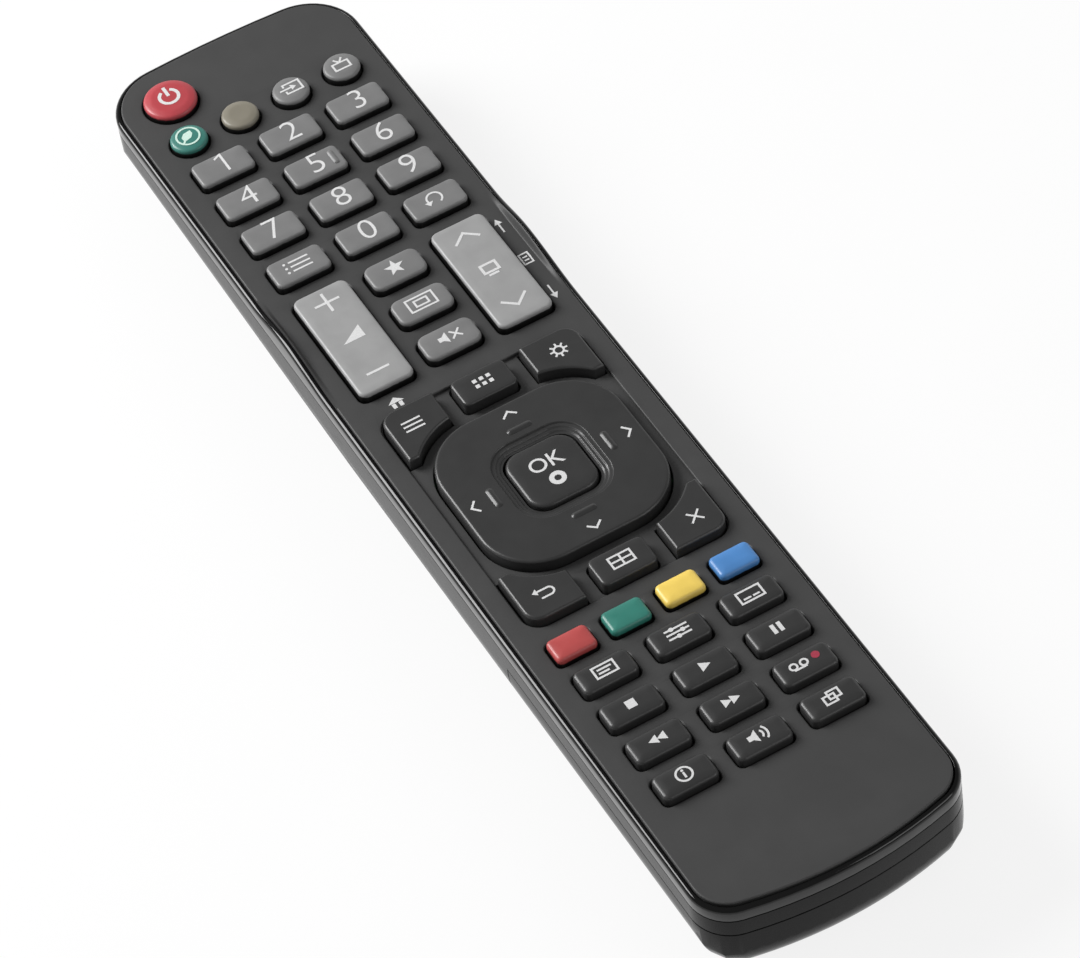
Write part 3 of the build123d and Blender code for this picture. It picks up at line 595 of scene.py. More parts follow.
# %% Flat plates
def flat_plate(name, outer, holes, low, high, edge, stands_for=None):
    curve = bpy.data.curves.new(name, "CURVE")
    curve.dimensions = "2D"
    curve.fill_mode = "BOTH"
    for number, loop in enumerate([outer, *holes]):
        area = sum(a.x * b.y - b.x * a.y for a, b in zip(loop, loop[1:] + loop[:1]))
        if (area > 0) == (number == 0):
            loop = loop[::-1]
        line = curve.splines.new("POLY")
        line.points.add(len(loop) - 1)
        for point, corner in zip(line.points, loop):
            point.co = (corner.x, corner.y, 0, 1)
        line.use_cyclic_u = True
    curve.bevel_depth = edge
    curve.bevel_resolution = 2
    curve.offset = -edge
    curve.extrude = (high - low) / 2 - edge
    data = curve_mesh(curve)
    data.transform(Matrix.Translation((0, 0, (low + high) / 2)))
    mesh = merged(data, 1e-7)
    xs = [v.co.x for v in mesh.verts]
    print(name, "width in mm:", round((max(xs) - min(xs)) / MM, 2), "faces:", len(mesh.faces))
    finish_piece(mesh, name, "handset", plate_satin, stands_for)


WELL_Y, WELL_WIDTH, WELL_LENGTH, WELL_CORNER = -16.1 * MM, 38.4 * MM, 54.0 * MM, 3.4 * MM
WELL_FLOOR = 18.5 * MM
UNDERLAP = 1.0 * MM


def well_loop(grow):
    return drawn_outline(0, WELL_Y, WELL_WIDTH + grow, WELL_LENGTH + grow, WELL_CORNER, 10)


def is_in_well(loop):
    return abs((span(loop)[1] + span(loop)[3]) / 2 - WELL_Y) < WELL_LENGTH / 2


in_well = [loop for loop in openings if is_in_well(loop)]
main_holes = [well_loop(0), *[loop for loop in openings if not is_in_well(loop)]]
flat_plate(
    "face_plate_main", plate_outline, main_holes, PLATE_LOW, PLATE_HIGH, 0.3 * MM, "face_plate"
)
flat_plate("face_plate_well", well_loop(UNDERLAP), in_well, PLATE_LOW + 0.01 * MM, WELL_FLOOR, 0.15 * MM)

# %% [markdown]
# ## The wave beside the rockers
# Beside the rockers the edge of the plate turns up in a long soft wave, and the rim rises with it. The
# height of the wave is a half cosine up from the near side and another down to the head side, so it starts
# and ends level.

# %% Lip of the plate
WAVE_NEAR, WAVE_PEAK, WAVE_HEAD = 17.5 * MM, 35.0 * MM, 47.2 * MM
WAVE_HEIGHT = 1.4 * MM
LIP_INNER, LIP_OUTER = 22.0 * MM, 22.9 * MM
LIP_DEPTH = 0.4 * MM
LIP_SINK, LIP_PROUD = 0.004 * MM, 0.04 * MM


def wave(y):
    if y <= WAVE_NEAR or y >= WAVE_HEAD:
        return 0.0
    reach = WAVE_PEAK - WAVE_NEAR if y < WAVE_PEAK else WAVE_HEAD - WAVE_PEAK
    return WAVE_HEIGHT * (1 + math.cos(math.pi * (y - WAVE_PEAK) / reach)) / 2


def lip_rise(x, y):
    across = (abs(x) - LIP_INNER) / (LIP_OUTER - LIP_INNER)
    across = min(1.0, max(0.0, across))
    return wave(y) * across * across * (3 - 2 * across)


def plate_lip(name, side):
    mesh = bmesh.new()
    middle = (side * (LIP_INNER + LIP_OUTER) / 2, (WAVE_NEAR + WAVE_HEAD) / 2, PLATE_HIGH)
    place = sized(middle, LIP_OUTER - LIP_INNER, WAVE_HEAD - WAVE_NEAR)
    bmesh.ops.create_grid(mesh, x_segments=14, y_segments=60, size=0.5, matrix=place)
    for vert in mesh.verts:
        x, y, _ = vert.co
        vert.co.z += lip_rise(x, y) - LIP_SINK + LIP_PROUD * wave(y) / WAVE_HEIGHT
    made = bmesh.ops.extrude_face_region(mesh, geom=mesh.faces[:])
    lowered = [item for item in made["geom"] if isinstance(item, bmesh.types.BMVert)]
    pivot = Matrix.Translation((0, 0, LIP_DEPTH - PLATE_HIGH))
    bmesh.ops.scale(mesh, verts=lowered, vec=(1, 1, 0), space=pivot)
    turn_outward(mesh)
    print(name, "rises by mm:", round(wave(WAVE_PEAK) / MM, 2))
    finish_piece(mesh, name, "handset", plate_satin)


plate_lip("plate_lip_left", -1)
plate_lip("plate_lip_right", 1)

# %% [markdown]
# ## The gloss rim
# The rim starts as the outline of the seam. The long sides are divided so that they can bend, the outline
# is pulled up and rounded over, stepped in by the rim's width, and taken down again inside. Then the points
# near the top are lifted by the wave.

# %% Rim
SEAM, RIM_TOP = 15.95 * MM, 18.7 * MM
HALF_WIDTH, HALF_LENGTH = 24.1, 110.0
NOTCH, NOTCH_HEIGHT = 0.15, 0.2 * MM
RIM_RADIUS = 0.82 * MM
RIM_STEPS = ((0.04, 0.0), (0.08, 0.05), (0.06, 0.12))


def divided(loop, longest_part):
    points = []
    for here, onward in zip(loop, loop[1:] + loop[:1]):
        parts = max(1, math.ceil((onward - here).length / longest_part))
        points += [here.lerp(onward, number / parts) for number in range(parts)]
    return points


rim = bmesh.new()
rim_outline = divided(longest(cad_loops("upper_housing", SEAM)), 1.0 * MM)
rim_face = rim.faces.new([rim.verts.new(corner) for corner in rim_outline])
rim_face.normal_update()
if rim_face.normal.z < 0:
    rim_face.normal_flip()
bmesh.ops.scale(rim, verts=rim.verts, vec=(1 - NOTCH / HALF_WIDTH, 1 - NOTCH / HALF_LENGTH, 1))
rim_face = pull_up(rim, rim_face, NOTCH_HEIGHT)
full_size = (HALF_WIDTH / (HALF_WIDTH - NOTCH), HALF_LENGTH / (HALF_LENGTH - NOTCH), 1)
bmesh.ops.scale(rim, verts=rim_face.verts, vec=full_size)
rim_face = pull_up(rim, rim_face, RIM_TOP - SEAM - NOTCH_HEIGHT - RIM_RADIUS)
round_over(rim, rim_face, RIM_RADIUS, 8)
for inward, fall in RIM_STEPS:
    step_in(rim, rim_face, inward * MM, -fall * MM)
rim_fall = sum(fall for _, fall in RIM_STEPS) * MM
rim_floor = pull_up(rim, rim_face, SEAM - RIM_TOP + rim_fall)
close_below(rim, rim_floor, SEAM)
for vert in rim.verts:
    if vert.co.z > SEAM + 1.0 * MM and abs(vert.co.x) > LIP_INNER:
        vert.co.z += wave(vert.co.y)
turn_outward(rim)
print("rim faces:", len(rim.faces), "open edges:", sum(e.is_boundary for e in rim.edges))
finish_piece(rim, "upper_housing_rim", "handset", rim_gloss, "upper_housing", 60)

# %% [markdown]
# ## The plain keys
# A key is more than its cap: under the plate a flange stops it from falling out, and a stem reaches down to
# the rubber mat. The sizes are read from the CAD node that the key stands for. The flange is the widest
# part, so the cap is the node's box less the flange all round.

# %% Key sizes
FLANGE = 0.9 * MM
FLANGE_LOW, FLANGE_HIGH = 16.3 * MM, 17.0 * MM
STEM = Vector((3.0, 2.0)) * MM


def on_key(node, x=0.0, y=0.0):
    low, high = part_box(node)
    return Vector(((low.x + high.x) / 2 + x * MM, (low.y + high.y) / 2 + y * MM, key_top))


def foot_of(node, low):
    place = on_key(node)
    return Vector((place.x, place.y, low))


def stem(mesh, x, y, low):
    block(mesh, (x - STEM.x / 2, y - STEM.y / 2, low), (x + STEM.x / 2, y + STEM.y / 2, FLANGE_LOW))


def soft_top(mesh, face, edge, crown, slopes, steps=4):
    face = pull_up(mesh, face, key_top - (crown + edge) * MM - face.verts[0].co.z)
    round_over(mesh, face, edge * MM, steps)
    for inward, share in slopes:
        face = pillow(mesh, face, inward * MM, share * crown * MM)


def key_cap(node, finish, corner, edge, crown):
    low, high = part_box(node)
    centre = (low + high) / 2
    width, length = high.x - low.x - 2 * FLANGE, high.y - low.y - 2 * FLANGE
    start = foot_of(node, FLANGE_HIGH)
    mesh = bmesh.new()
    if corner:
        face = outline_face(mesh, start, width, length, corner * MM)
    else:
        face = round_face(mesh, start, width / 2)
    soft_top(mesh, face, edge, crown, ((0.45, 0.65), (0.65, 0.35)))
    block(mesh, (low.x, low.y, FLANGE_LOW), (high.x, high.y, FLANGE_HIGH))
    stem(mesh, centre.x, centre.y, low.z)
    turn_outward(mesh)
    finish_piece(mesh, node + "_cap", body_of_node[node], key_finishes[finish], node)


digit_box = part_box("digit_2_key")
print("digit cap in mm:", round((digit_box[1].x - digit_box[0].x - 2 * FLANGE) / MM, 2))

# %% [markdown]
# ## Numbers, functions and colours
# The digit keys have small corner radii. The three keys between the rockers are rounder, and the keys of
# the lower block have a wide soft edge. Each row of this list gives keys of one form: their finish, the
# corner radius, the radius of the edge and the height of the crown, all in millimetres. A corner of nought
# stands for a round key.

# %% Make the plain keys
key_forms = (
    ([f"digit_{number}" for number in (0, 1, 2, 3, 4, 6, 7, 8, 9)], "key_grey", 1.1, 0.45, 0.08),
    (["list", "recall"], "key_grey", 1.2, 0.45, 0.08),
    (["favourite", "ratio", "mute"], "key_grey", 1.7, 0.5, 0.08),
    (["text", "option", "subtitle", "stop", "play", "pause"], "key_dark", 1.2, 0.7, 0.14),
    (["rewind", "forward", "record", "info", "audio", "depth"], "key_dark", 1.2, 0.7, 0.14),
    (["apps", "guide"], "key_dark", 1.2, 0.5, 0.08),
    *[([name], "key_" + name, 1.0, 0.7, 0.12) for name in ("red", "green", "yellow", "blue")],
    (["power"], "key_power_red", 0, 0.7, 0.25),
    (["eco"], "key_teal", 0, 0.6, 0.2),
    (["blank"], "key_beige", 0, 0.6, 0.2),
    (["input", "radio"], "key_grey", 0, 0.6, 0.2),
    (["digit_5"], "key_grey", 1.1, 0.45, 0.08),
)
for names, *form in key_forms:
    for name in names:
        key_cap(name + "_key", *form)
print("plain keys made:", sum(len(form[0]) for form in key_forms))

# %% [markdown]
# ## The raised bar of the middle digit
# The middle digit carries a small raised bar at its right, so a thumb can find it in the dark. The bar is
# its own small cap that stands on the key and moves with it. Its sides slope gently, so that one of them
# mirrors the big lamp as a bright line.

# %% Bar on the middle digit
BAR_SINK = 0.05 * MM


def raised_bar(name, body, finish, place, width, length, corner, wall, slopes, unit=MM):
    mesh = bmesh.new()
    start = place - Vector((0, 0, BAR_SINK))
    face = outline_face(mesh, start, width * MM, length * MM, corner * MM)
    face = pull_up(mesh, face, BAR_SINK + wall * unit)
    for inward, rise in slopes:
        face = pillow(mesh, face, inward * MM, rise * unit)
    turn_outward(mesh)
    finish_piece(mesh, name, body, key_finishes[finish])


five_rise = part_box("digit_5_key")[1].z - key_top
five_slopes = ((0.14, 0.28), (0.14, 0.24), (0.10, 0.10))
five_place = on_key("digit_5_key", 3.5)
raised_bar(
    "digit_5_bar", "digit_5_key", "key_grey", five_place, 0.98, 3.5, 0.46, 0.38, five_slopes, five_rise
)
print("bar stands out by mm", round(five_rise / MM, 2))

# %% [markdown]
# ## The two rockers
# Each rocker is one long light grey cap that tips on a pivot in its middle. The pivot is a round pin that
# stands out at both sides under the plate, and a stem at each end reaches down to its own contact.


# %% Rockers
def rocker_cap(node):
    low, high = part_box(node)
    centre = (low + high) / 2
    width, length = high.x - low.x - 2 * FLANGE, high.y - low.y
    mesh = bmesh.new()
    face = outline_face(mesh, foot_of(node, FLANGE_LOW), width, length, 1.5 * MM, 6)
    soft_top(mesh, face, 0.5, 0.08, ((0.5, 0.75), (0.6, 0.25)))
    pin = Matrix.Translation((centre.x, centre.y, (FLANGE_LOW + FLANGE_HIGH) / 2))
    bmesh.ops.create_cone(
        mesh, cap_ends=True, segments=24, radius1=0.35 * MM, radius2=0.35 * MM,
        depth=high.x - low.x, matrix=pin @ Matrix.Rotation(math.pi / 2, 4, "Y"),
    )
    for end in (-1, 1):
        stem(mesh, centre.x, centre.y + end * (length / 2 - 2.9 * MM), low.z)
    turn_outward(mesh)
    finish_piece(mesh, node + "_cap", node, key_finishes["key_light"], node)
    print(node, "length in mm:", round(length / MM, 2))


rocker_cap("volume_rocker")
rocker_cap("programme_rocker")

# %% [markdown]
# ## The four corner keys
# The corner keys of the menu cluster follow the ring with a hollow side, which no single outline operator
# makes. Their CAD solids already have that shape, so they get the rounded copy, with a wider radius than
# the housings.

# %% Corner keys
for node in ("menu_key", "quick_menu_key", "back_key", "exit_key"):
    rounded_node(node, 0.17 * MM, dark, 3, 24)
print("corner keys made")

# %% [markdown]
# ## The direction ring
# The ring is a square with very round corners, and a hollow dish falls away to the OK key in its middle.
# The outer edge and the dish have different corner radii, so they are made as two separate outlines and the
# flat band between them is bridged.

# %% Ring
ring_low, ring_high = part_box("direction_ring")
ring_middle = on_key("direction_ring")
RING_SIDE = ring_high.x - ring_low.x - 2 * FLANGE
OK_SIZE = Vector((13.0, 13.4)) * MM
OK_GAP, DISH_WIDTH = 0.35 * MM, 2.1 * MM
DISH_WALLS = (0.27, 0.22, 0.20)

ring_mesh = bmesh.new()
ring_start = foot_of("direction_ring", ring_low.z)
ring_face = outline_face(ring_mesh, ring_start, RING_SIDE, RING_SIDE, 10.5 * MM, 14)
ring_face = pull_up(ring_mesh, ring_face, key_top - 0.6 * MM - ring_low.z)
round_over(ring_mesh, ring_face, 0.6 * MM, 5)
step_in(ring_mesh, ring_face, 0.5 * MM, 0.0)
grow = 2 * (OK_GAP + DISH_WIDTH)
dish_corner = 3.0 * MM + grow / 2
dish = outline_face(ring_mesh, ring_middle, OK_SIZE.x + grow, OK_SIZE.y + grow, dish_corner, 14)
for wall in DISH_WALLS:
    for inward, fall in ((0.10, 0.03), (0.12, wall), (0.08, 0.02), (0.40, 0.02)):
        step_in(ring_mesh, dish, inward * MM, -fall * MM)
dish = pull_up(ring_mesh, dish, ring_low.z - key_top + 0.9 * MM)
bmesh.ops.delete(ring_mesh, geom=[ring_face], context="FACES_ONLY")
upper = [e for e in ring_mesh.edges if e.is_boundary and e.verts[0].co.z > key_top - 0.01 * MM]
bmesh.ops.bridge_loops(ring_mesh, edges=upper)
close_below(ring_mesh, dish, ring_low.z)
turn_outward(ring_mesh)
open_edges = sum(e.is_boundary for e in ring_mesh.edges)
print("ring faces:", len(ring_mesh.faces), "open edges:", open_edges)
finish_piece(ring_mesh, "direction_ring_cap", "ring", dark, "direction_ring")

# %% [markdown]
# ## Bars on the ring
# Four low bars between the arrows and the OK key guide the thumb. They are made as the bar on the middle
# digit is, only lower and wider.

# %% Ring bars
ring_slopes = ((0.2, 0.12), (0.2, 0.10), (0.15, 0.04))
for name, x, y, width, length in (
    ("far", 0, 10.9, 4.6, 1.3), ("near", 0, -10.9, 4.6, 1.3),
    ("left", -10.9, 0, 1.3, 4.6), ("right", 10.9, 0, 1.3, 4.6),
):
    place = on_key("direction_ring", x, y)
    raised_bar("ring_bar_" + name, "ring", "key_dark", place, width, length, 0.6, 0.03, ring_slopes)
print("bars on the ring:", 4)

# %% [markdown]
# ## The OK key
# The OK key in the middle of the ring is a small pillow with a soft edge like that of the ring. It goes
# straight down without a flange, inside the hole of the ring.

# %% OK key
ok_low, ok_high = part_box("ok_key")
ok_mesh = bmesh.new()
ok_face = outline_face(ok_mesh, foot_of("ok_key", ok_low.z), *OK_SIZE, 3.4 * MM, 10)
soft_top(ok_mesh, ok_face, 0.7, 0.1, ((0.6, 0.7), (0.8, 0.3)), 5)
turn_outward(ok_mesh)
finish_piece(ok_mesh, "ok_key_cap", "ok_key", dark, "ok_key")
print("OK key top in mm:", round(ok_high.z / MM, 2))

# %% [markdown]
# ## Printed digits
# A number is a text object. Its letter shape is turned into a thin solid mesh, scaled to the height that
# the real print has, and laid so that it stands three hundredths of a millimetre out of the key. A weight
# below nought makes its strokes thinner than those of the built-in letters.

# %% Printed text
INK_SINK, INK_RISE = 0.03 * MM, 0.03 * MM
INK_DEPTH = INK_SINK + INK_RISE


def printed_text(name, text, place, height, body, weight):
    curve = bpy.data.curves.new(name, "FONT")
    curve.body = text
    curve.size = 1.0
    curve.offset = weight
    curve.extrude = 0.5
    data = curve_mesh(curve)
    xs, ys = [v.co.x for v in data.vertices], [v.co.y for v in data.vertices]
    scale = height / (max(ys) - min(ys))
    middle = Vector(((max(xs) + min(xs)) / 2, (max(ys) + min(ys)) / 2, 0))
    data.transform(sized(place, scale, scale, INK_DEPTH) @ Matrix.Translation(-middle))
    finish_piece(merged(data, 1e-7), name, body, inks["white"], crisp=30)


for number in (0, 2, 3, 4, 5, 6, 7, 8, 9):
    key = f"digit_{number}_key"
    printed_text(f"digit_{number}_print", str(number), on_key(key, 0.3, 0.5), 4.6 * MM, key, -0.011)
print("digits printed as text:", 9)

# %% [markdown]
# ## Printed signs
# The other keys carry plain signs in place of words. A sign is a list of strokes in millimetres from the
# middle of its key: a bar between two points, a disc, a hoop from one angle to another, or a filled shape.
# Each stroke is a hair higher than the last, so that no two faces lie in exactly the same plane.

# %% Strokes
THIN = 0.36


def bar_stroke(mesh, place, x0, y0, x1, y1, width):
    along = Vector((x1 - x0, y1 - y0, 0)) * MM
    middle = place + Vector((x0 + x1, y0 + y1, 0)) * MM / 2
    turned = Matrix.Rotation(math.atan2(along.y, along.x), 4, "Z")
    size = Matrix.Diagonal((along.length + width * MM, width * MM, INK_DEPTH, 1))
    bmesh.ops.create_cube(mesh, size=1.0, matrix=Matrix.Translation(middle) @ turned @ size)


def disc_stroke(mesh, place, x, y, radius):
    bmesh.ops.create_cone(
        mesh, cap_ends=True, segments=32, radius1=radius * MM, radius2=radius * MM,
        depth=INK_DEPTH, matrix=Matrix.Translation(place + Vector((x, y, 0)) * MM),
    )


def hoop_stroke(mesh, place, x, y, radius, start, end, width):
    centre = place + Vector((x, y, 0)) * MM
    angle = math.radians(start)
    corners = []
    for out, up in ((-0.5, -INK_SINK), (0.5, -INK_SINK), (0.5, INK_RISE), (-0.5, INK_RISE)):
        reach = (radius + out * width) * MM
        corner = Vector((reach * math.cos(angle), reach * math.sin(angle), up))
        corners.append(mesh.verts.new(centre + corner))
    face = mesh.faces.new(corners)
    turn = end - start
    bmesh.ops.spin(
        mesh, geom=[face, *face.edges, *corners], cent=centre, axis=(0, 0, 1), dvec=(0, 0, 0),
        angle=math.radians(turn), steps=max(6, int(turn / 12)), use_merge=turn >= 360,
        use_normal_flip=False, use_duplicate=False,
    )
    inner = [face for face in mesh.faces if all(len(edge.link_faces) > 2 for edge in face.edges)]
    bmesh.ops.delete(mesh, geom=inner, context="FACES_ONLY")


def filled_stroke(mesh, place, points):
    corners = [mesh.verts.new(place + Vector((x * MM, y * MM, -INK_SINK))) for x, y in points]
    pull_up(mesh, mesh.faces.new(corners), INK_DEPTH)


def printed_sign(name, strokes, place, body, colour="white", width=THIN):
    mesh = bmesh.new()
    for number, (kind, *values) in enumerate(strokes):
        here = place + Vector((0, 0, number * 0.0005 * MM))
        if kind == "bar":
            bar_stroke(mesh, here, *values, width)
        elif kind == "disc":
            disc_stroke(mesh, here, *values)
        elif kind == "hoop":
            hoop_stroke(mesh, here, *values, width)
        else:
            filled_stroke(mesh, here, values)
    bmesh.ops.remove_doubles(mesh, verts=mesh.verts, dist=1e-7)
    turn_outward(mesh)
    if body == "handset":
        for vert in mesh.verts:
            vert.co.z += lip_rise(vert.co.x, vert.co.y)
    finish_piece(mesh, name, body, inks[colour], crisp=30)


def path(*points):
    return [("bar", *here, *onward) for here, onward in zip(points, points[1:])]


def hoop(radius, x=0, y=0):
    return ("hoop", x, y, radius, 0, 360)


def frame_of(half_width, half_length, x=0.0, y=0.0):
    signs_round = ((-1, -1), (1, -1), (1, 1), (-1, 1), (-1, -1))
    return path(*[(x + w * half_width, y + h * half_length) for w, h in signs_round])


def rows(half_length, *heights, x=0.0):
    return [("bar", x - half_length, y, x + half_length, y) for y in heights]


def patch(x0, y0, x1, y1):
    return ("fill", (x0, y0), (x1, y0), (x1, y1), (x0, y1))


def star(outer, inner, points=5):
    turns = [(math.pi / 2 + math.pi * n / points, (outer, inner)[n % 2]) for n in range(2 * points)]
    return ("fill", *[(reach * math.cos(angle), reach * math.sin(angle)) for angle, reach in turns])


def ray(angle, start, end):
    c, s = math.cos(math.radians(angle)), math.sin(math.radians(angle))
    return ("bar", start * c, start * s, end * c, end * s)


print("stroke width in mm:", THIN)

# %% [markdown]
# ## Which sign goes on which key
# Every sign is a common one: a star for favourites, bars for a list or a menu, a frame for the picture, a
# loudspeaker for sound, and the usual signs of a player.

# %% Signs of the keys
loudspeaker = ("fill", (-1.9, -0.5), (-1.1, -0.5), (-0.2, -1.3), (-0.2, 1.3), (-1.1, 0.5), (-1.9, 0.5))
leaf = ("fill", (-1.1, -0.9), (-1.2, 0.1), (-0.5, 0.9), (0.9, 1.1), (1.0, 0.2), (0.4, -0.6), (-0.5, -0.9))
signs = {
    "power": [("hoop", 0, 0, 1.75, 118, 422), ("bar", 0, 0.5, 0, 2.3)],
    "eco": [hoop(2.1), leaf, ("bar", -1.4, -1.3, -0.9, -0.8)],
    "input": path((-1.0, 1.2), (2.1, 1.2), (2.1, -1.2), (-1.0, -1.2))
    + [("bar", -1.0, 1.2, -1.0, 0.7), ("bar", -1.0, -1.2, -1.0, -0.7), ("bar", -1.8, 0, 0.2, 0)]
    + [("fill", (0.2, -0.7), (1.2, 0), (0.2, 0.7))],
    "radio": frame_of(1.5, 0.85, 0, -0.4) + [("bar", -0.1, 0.6, -0.7, 1.4), ("bar", 0.1, 0.6, 0.7, 1.4)],
    "list": rows(1.7, 1.1, 0, -1.1, x=0.5) + [("disc", -2.2, y, 0.26) for y in (1.1, 0, -1.1)],
    "recall": [("hoop", 0, 0, 1.4, -60, 210), ("fill", (-2.1, -0.4), (-0.5, -0.4), (-1.35, -1.4))],
    "favourite": [star(1.9, 0.8)],
    "ratio": frame_of(2.5, 1.5) + frame_of(1.2, 0.7),
    "mute": [loudspeaker, ("bar", 0.6, -0.8, 2.2, 0.8), ("bar", 0.6, 0.8, 2.2, -0.8)],
    "menu": rows(1.6, 1.0, 0, -1.0),
    "apps": [patch(x - 0.38, y - 0.38, x + 0.38, y + 0.38) for y in (0.65, -0.65) for x in (-1.3, 0, 1.3)],
    "quick_menu": [hoop(0.85), *[ray(45 * n, 1.15, 1.45) for n in range(8)]],
    "back": [
        ("bar", -1.0, 0.8, 0.8, 0.8), ("hoop", 0.8, 0, 0.8, -90, 90), ("bar", 0.8, -0.8, -0.8, -0.8),
        ("fill", (-1.1, 0.1), (-1.1, 1.5), (-2.0, 0.8)),
    ],
    "guide": frame_of(2.0, 1.2) + rows(2.0, 0) + [("bar", 0, -1.2, 0, 1.2)],
    "exit": [("bar", -1.0, -1.0, 1.0, 1.0), ("bar", -1.0, 1.0, 1.0, -1.0)],
    "text": frame_of(1.9, 1.15) + rows(1.1, 0.35) + [("bar", -1.1, -0.4, 0.5, -0.4)],
    "option": rows(1.9, 0.9, 0, -0.9)
    + [("disc", -0.8, 0.9, 0.42), ("disc", 0.9, 0, 0.42), ("disc", -0.2, -0.9, 0.42)],
    "subtitle": frame_of(2.1, 1.2) + [("bar", -1.3, -0.5, -0.3, -0.5), ("bar", 0.4, -0.5, 1.3, -0.5)],
    "stop": [patch(-0.85, -0.85, 0.85, 0.85)],
    "play": [("fill", (-0.75, -1.0), (1.1, 0), (-0.75, 1.0))],
    "pause": [patch(-0.95, -1.0, -0.25, 1.0), patch(0.25, -1.0, 0.95, 1.0)],
    "rewind": [("fill", (0.0, -0.9), (0.0, 0.9), (-1.6, 0)), ("fill", (1.5, -0.9), (1.5, 0.9), (-0.1, 0))],
    "forward": [("fill", (-1.5, -0.9), (0.1, 0), (-1.5, 0.9)), ("fill", (0.0, -0.9), (1.6, 0), (0.0, 0.9))],
    "record": [hoop(0.62, -2.0), hoop(0.62, -0.1), ("bar", -2.0, -0.8, -0.1, -0.8)],
    "info": [hoop(1.35), ("bar", 0, -0.6, 0, 0.2), ("disc", 0, 0.75, 0.24)],
    "audio": [loudspeaker, ("hoop", -0.2, 0, 1.0, -45, 45), ("hoop", -0.2, 0, 1.8, -45, 45)],
    "depth": frame_of(1.0, 0.8, -0.5, -0.35) + frame_of(1.0, 0.8, 0.5, 0.35),
}
sign_shift = {"menu": (-0.8, 1.0), "quick_menu": (0.4, 1.4), "back": (-0.2, -1.4), "exit": (0.9, -1.4)}
sign_ink = {"eco": "mint"}
sign_width = {"power": 0.62}
for name, strokes in signs.items():
    key = name + "_key"
    place = on_key(key, *sign_shift.get(name, (0, 0.2)))
    ink_name, width = sign_ink.get(name, "white"), sign_width.get(name, THIN)
    printed_sign(key + "_print", strokes, place, key, ink_name, width)
print("signs printed:", len(signs))

# %% [markdown]
# ## Signs on the rockers and the ring
# The rockers carry a plus, a wedge and a minus on the left, and arrows round a small screen on the right.
# The ring has four chevrons: one shape that is turned a quarter at a time. The OK key has its letters with
# a spot below them. The digit 1, which is one filled shape, and the red dot of the record key are printed
# here too.

# %% Other signs
upward = path((-2.2, -1.0), (0, 0.9), (2.2, -1.0))
downward = path((-2.2, 1.0), (0, -0.9), (2.2, 1.0))
rocker_signs = {
    "volume_plus": ("volume_rocker", 9.4, rows(2.1, 0) + [("bar", 0, -2.1, 0, 2.1)]),
    "volume_wedge": ("volume_rocker", 0.4, [("fill", (-2.2, -1.4), (2.0, -1.4), (2.0, 1.5))]),
    "volume_minus": ("volume_rocker", -9.2, rows(1.9, 0)),
    "programme_up": ("programme_rocker", 9.2, upward),
    "programme_screen": ("programme_rocker", 0.4, frame_of(1.4, 1.0) + rows(0.7, -1.7)),
    "programme_down": ("programme_rocker", -9.0, downward),
}
for name, (body, y, strokes) in rocker_signs.items():
    printed_sign(name + "_print", strokes, on_key(body, 0, y), body, "soft", 0.5)

chevron = ((-1.15, -0.5), (0, 0.5), (1.15, -0.5))
for name, x, y in (("far", 0, 1), ("near", 0, -1), ("left", -1, 0), ("right", 1, 0)):
    turned = path(*[(a * y + b * x, b * y - a * x) for a, b in chevron])
    place = on_key("direction_ring", 14.6 * x, 14.6 * y)
    printed_sign("ring_arrow_" + name, turned, place, "ring", width=0.38)

printed_text("ok_print", "OK", on_key("ok_key", 0, 1.9), 3.0 * MM, "ok_key", 0.006)
printed_sign("ok_spot_print", [hoop(1.05)], on_key("ok_key", 0, -2.2), "ok_key", width=0.85)
one = ("fill", (0.04, -2.3), (0.5, -2.3), (0.5, 2.3), (0.14, 2.3), (-1.1, 1.65), (-1.0, 1.25), (0.04, 1.75))
printed_sign("digit_1_print", [one], on_key("digit_1_key", 0.3, 0.5), "digit_1_key")
record_place = on_key("record_key", 2.2, 0.5)
printed_sign("record_dot_print", [("disc", 0, 0, 0.72)], record_place, "record_key", "red")
print("signs on the rockers:", len(rocker_signs))

# %% [markdown]
# ## Signs on the plate
# Beside the right rocker two arrows and a page are printed on the plate itself, and a small house stands
# below the left one. The ink follows the plate where it turns up in the wave, because each point of a sign
# on the handset is lifted by the same rise as the lip.


# %% Signs on the plate
def on_plate(x, y):
    return Vector((x * MM, y * MM, PLATE_HIGH))


PAGE_X, PAGE_Y = 20.25, on_key("volume_rocker").y / MM
page = frame_of(0.85, 1.25) + rows(0.3, 0.4, -0.4)
page_up = [("bar", 0, -1.5, 0, 0.9), ("fill", (-0.75, 0.6), (0.75, 0.6), (0, 1.9))]
page_down = [("bar", 0, 1.5, 0, -0.9), ("fill", (-0.75, -0.6), (0, -1.9), (0.75, -0.6))]
for name, y, strokes in (("page_up", 9.2, page_up), ("page_down", -9.2, page_down), ("page", 0, page)):
    printed_sign(name + "_print", strokes, on_plate(PAGE_X, PAGE_Y + y), "handset", width=0.3)
roof = ("fill", (-1.5, 0.0), (1.5, 0.0), (0, 1.25))
house = [roof, patch(-1.0, -1.2, -0.3, -0.1), patch(0.3, -1.2, 1.0, -0.1)]
printed_sign("home_print", house, on_plate(-13.9, 12.9), "handset")
print("plate top in mm:", round(PLATE_HIGH / MM, 2))

# %% [markdown]
# ## Inside the handset
# The window at the head end and the pieces inside keep their CAD shapes, which are plain and mostly seen
# with the cover off or from cut views. Each still gets the look of its real material: a green board with
# its tracks, a rubber mat, a printed cell jacket with its copper coloured end, nickel springs and steel
# screws.


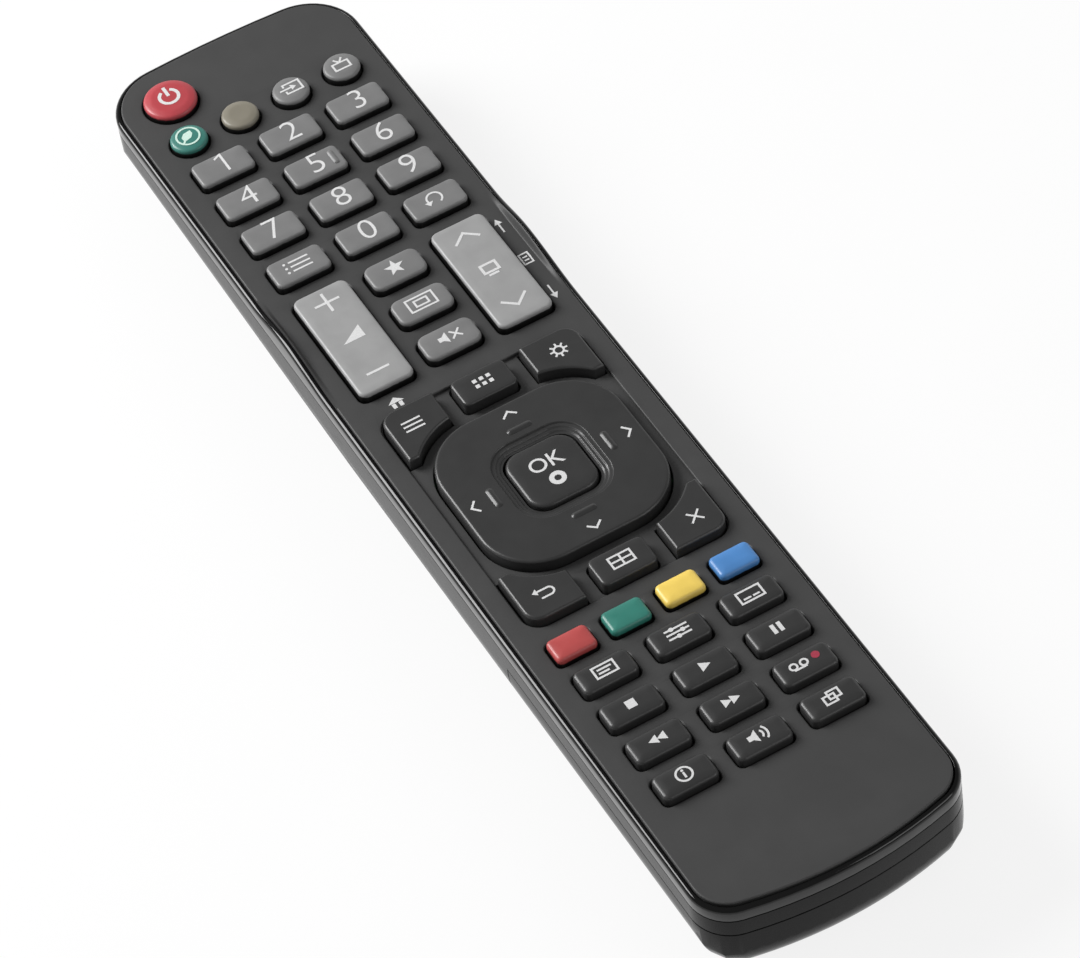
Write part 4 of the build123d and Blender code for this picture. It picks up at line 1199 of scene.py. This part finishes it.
# %% Finishes inside
def dress(node, material):
    piece = frame["nodes"][node]
    if not piece.material_slots:
        piece.data.materials.append(material)
    for slot in piece.material_slots:
        slot.material = material


def metal(name, code, roughness, brush):
    material, tree, shader, place = new_finish(name)
    base = mottled(tree, place, 1.5, code, 0.88, 1.06)
    shader.inputs["Metallic"].default_value = 1.0
    lines = noise(tree, place, 0.4, 2.0, (1, 1, brush))
    coat(tree, shader, base, spread(tree, lines, roughness * 0.7, roughness * 1.4))
    bump(tree, shader, lines, 0.003)
    return material


def board_finish():
    material, tree, shader, place = new_finish("board_green")
    tracks = tree.nodes.new("ShaderNodeTexBrick")
    tracks.inputs["Scale"].default_value = 1 / (9 * MM)
    tracks.inputs["Mortar Size"].default_value = 0.05
    for socket, code in (("Color1", "1E5A34"), ("Color2", "1A5230"), ("Mortar", "3A8050")):
        tracks.inputs[socket].default_value = screen_colour(code)
    tree.links.new(place, tracks.inputs["Vector"])
    gloss = spread(tree, noise(tree, place, 1.0), 0.24, 0.4)
    coat(tree, shader, tracks.outputs["Color"], gloss)
    bump(tree, shader, tracks.outputs["Fac"], 0.02)
    return material


def cell_finish():
    material, tree, shader, place = new_finish("cell_jacket")
    side = arithmetic(tree, "SIGN", axis_of(tree, place, "X"))
    along = arithmetic(tree, "SUBTRACT", axis_of(tree, place, "Y"), on_key("batteries").y)
    towards = arithmetic(tree, "MULTIPLY", side, along)
    copper_end = spread(tree, towards, 1.0, 0.0, -12.0 * MM, -11.8 * MM)
    tone = spread(tree, noise(tree, place, 3), 0.0, 1.0)
    jacket = mix_colours(tree, tone, screen_colour("23262B"), screen_colour("2D3036"))
    base = mix_colours(tree, copper_end, jacket, screen_colour("B87A3C"))
    shader.inputs["Metallic"].default_value = 0.35
    coat(tree, shader, base, spread(tree, noise(tree, place, 0.8), 0.22, 0.36))
    bump(tree, shader, noise(tree, place, 0.5), 0.004)
    return material


inside = {
    "circuit_board": board_finish(),
    "batteries": cell_finish(),
    "keypad_mat": plastic("mat_rubber", "3A3A3C", 0.7, 0.3, 0.01),
    "navigation_pad": plastic("pad_rubber", "2E2E30", 0.7, 0.3, 0.01),
    "control_chip": plastic("chip_black", "1C1C1E", 0.55, 0.25, 0.008),
    "ir_led": plastic("lamp_clear", "4A4A60", 0.12, 0.8, 0.001),
    "ir_window": plastic("window_dark", "160A12", 0.07, 1.2, 0.0008, 0.1, 0.06),
    "contact_springs": metal("spring_nickel", "C9CBC8", 0.28, 0.1),
    "contact_plates": metal("plate_nickel", "C9CBC8", 0.26, 0.1),
    "housing_screws": metal("screw_steel", "8E9094", 0.34, 0.3),
}
for node, material in inside.items():
    dress(node, material)
print("CAD nodes dressed:", len(inside))
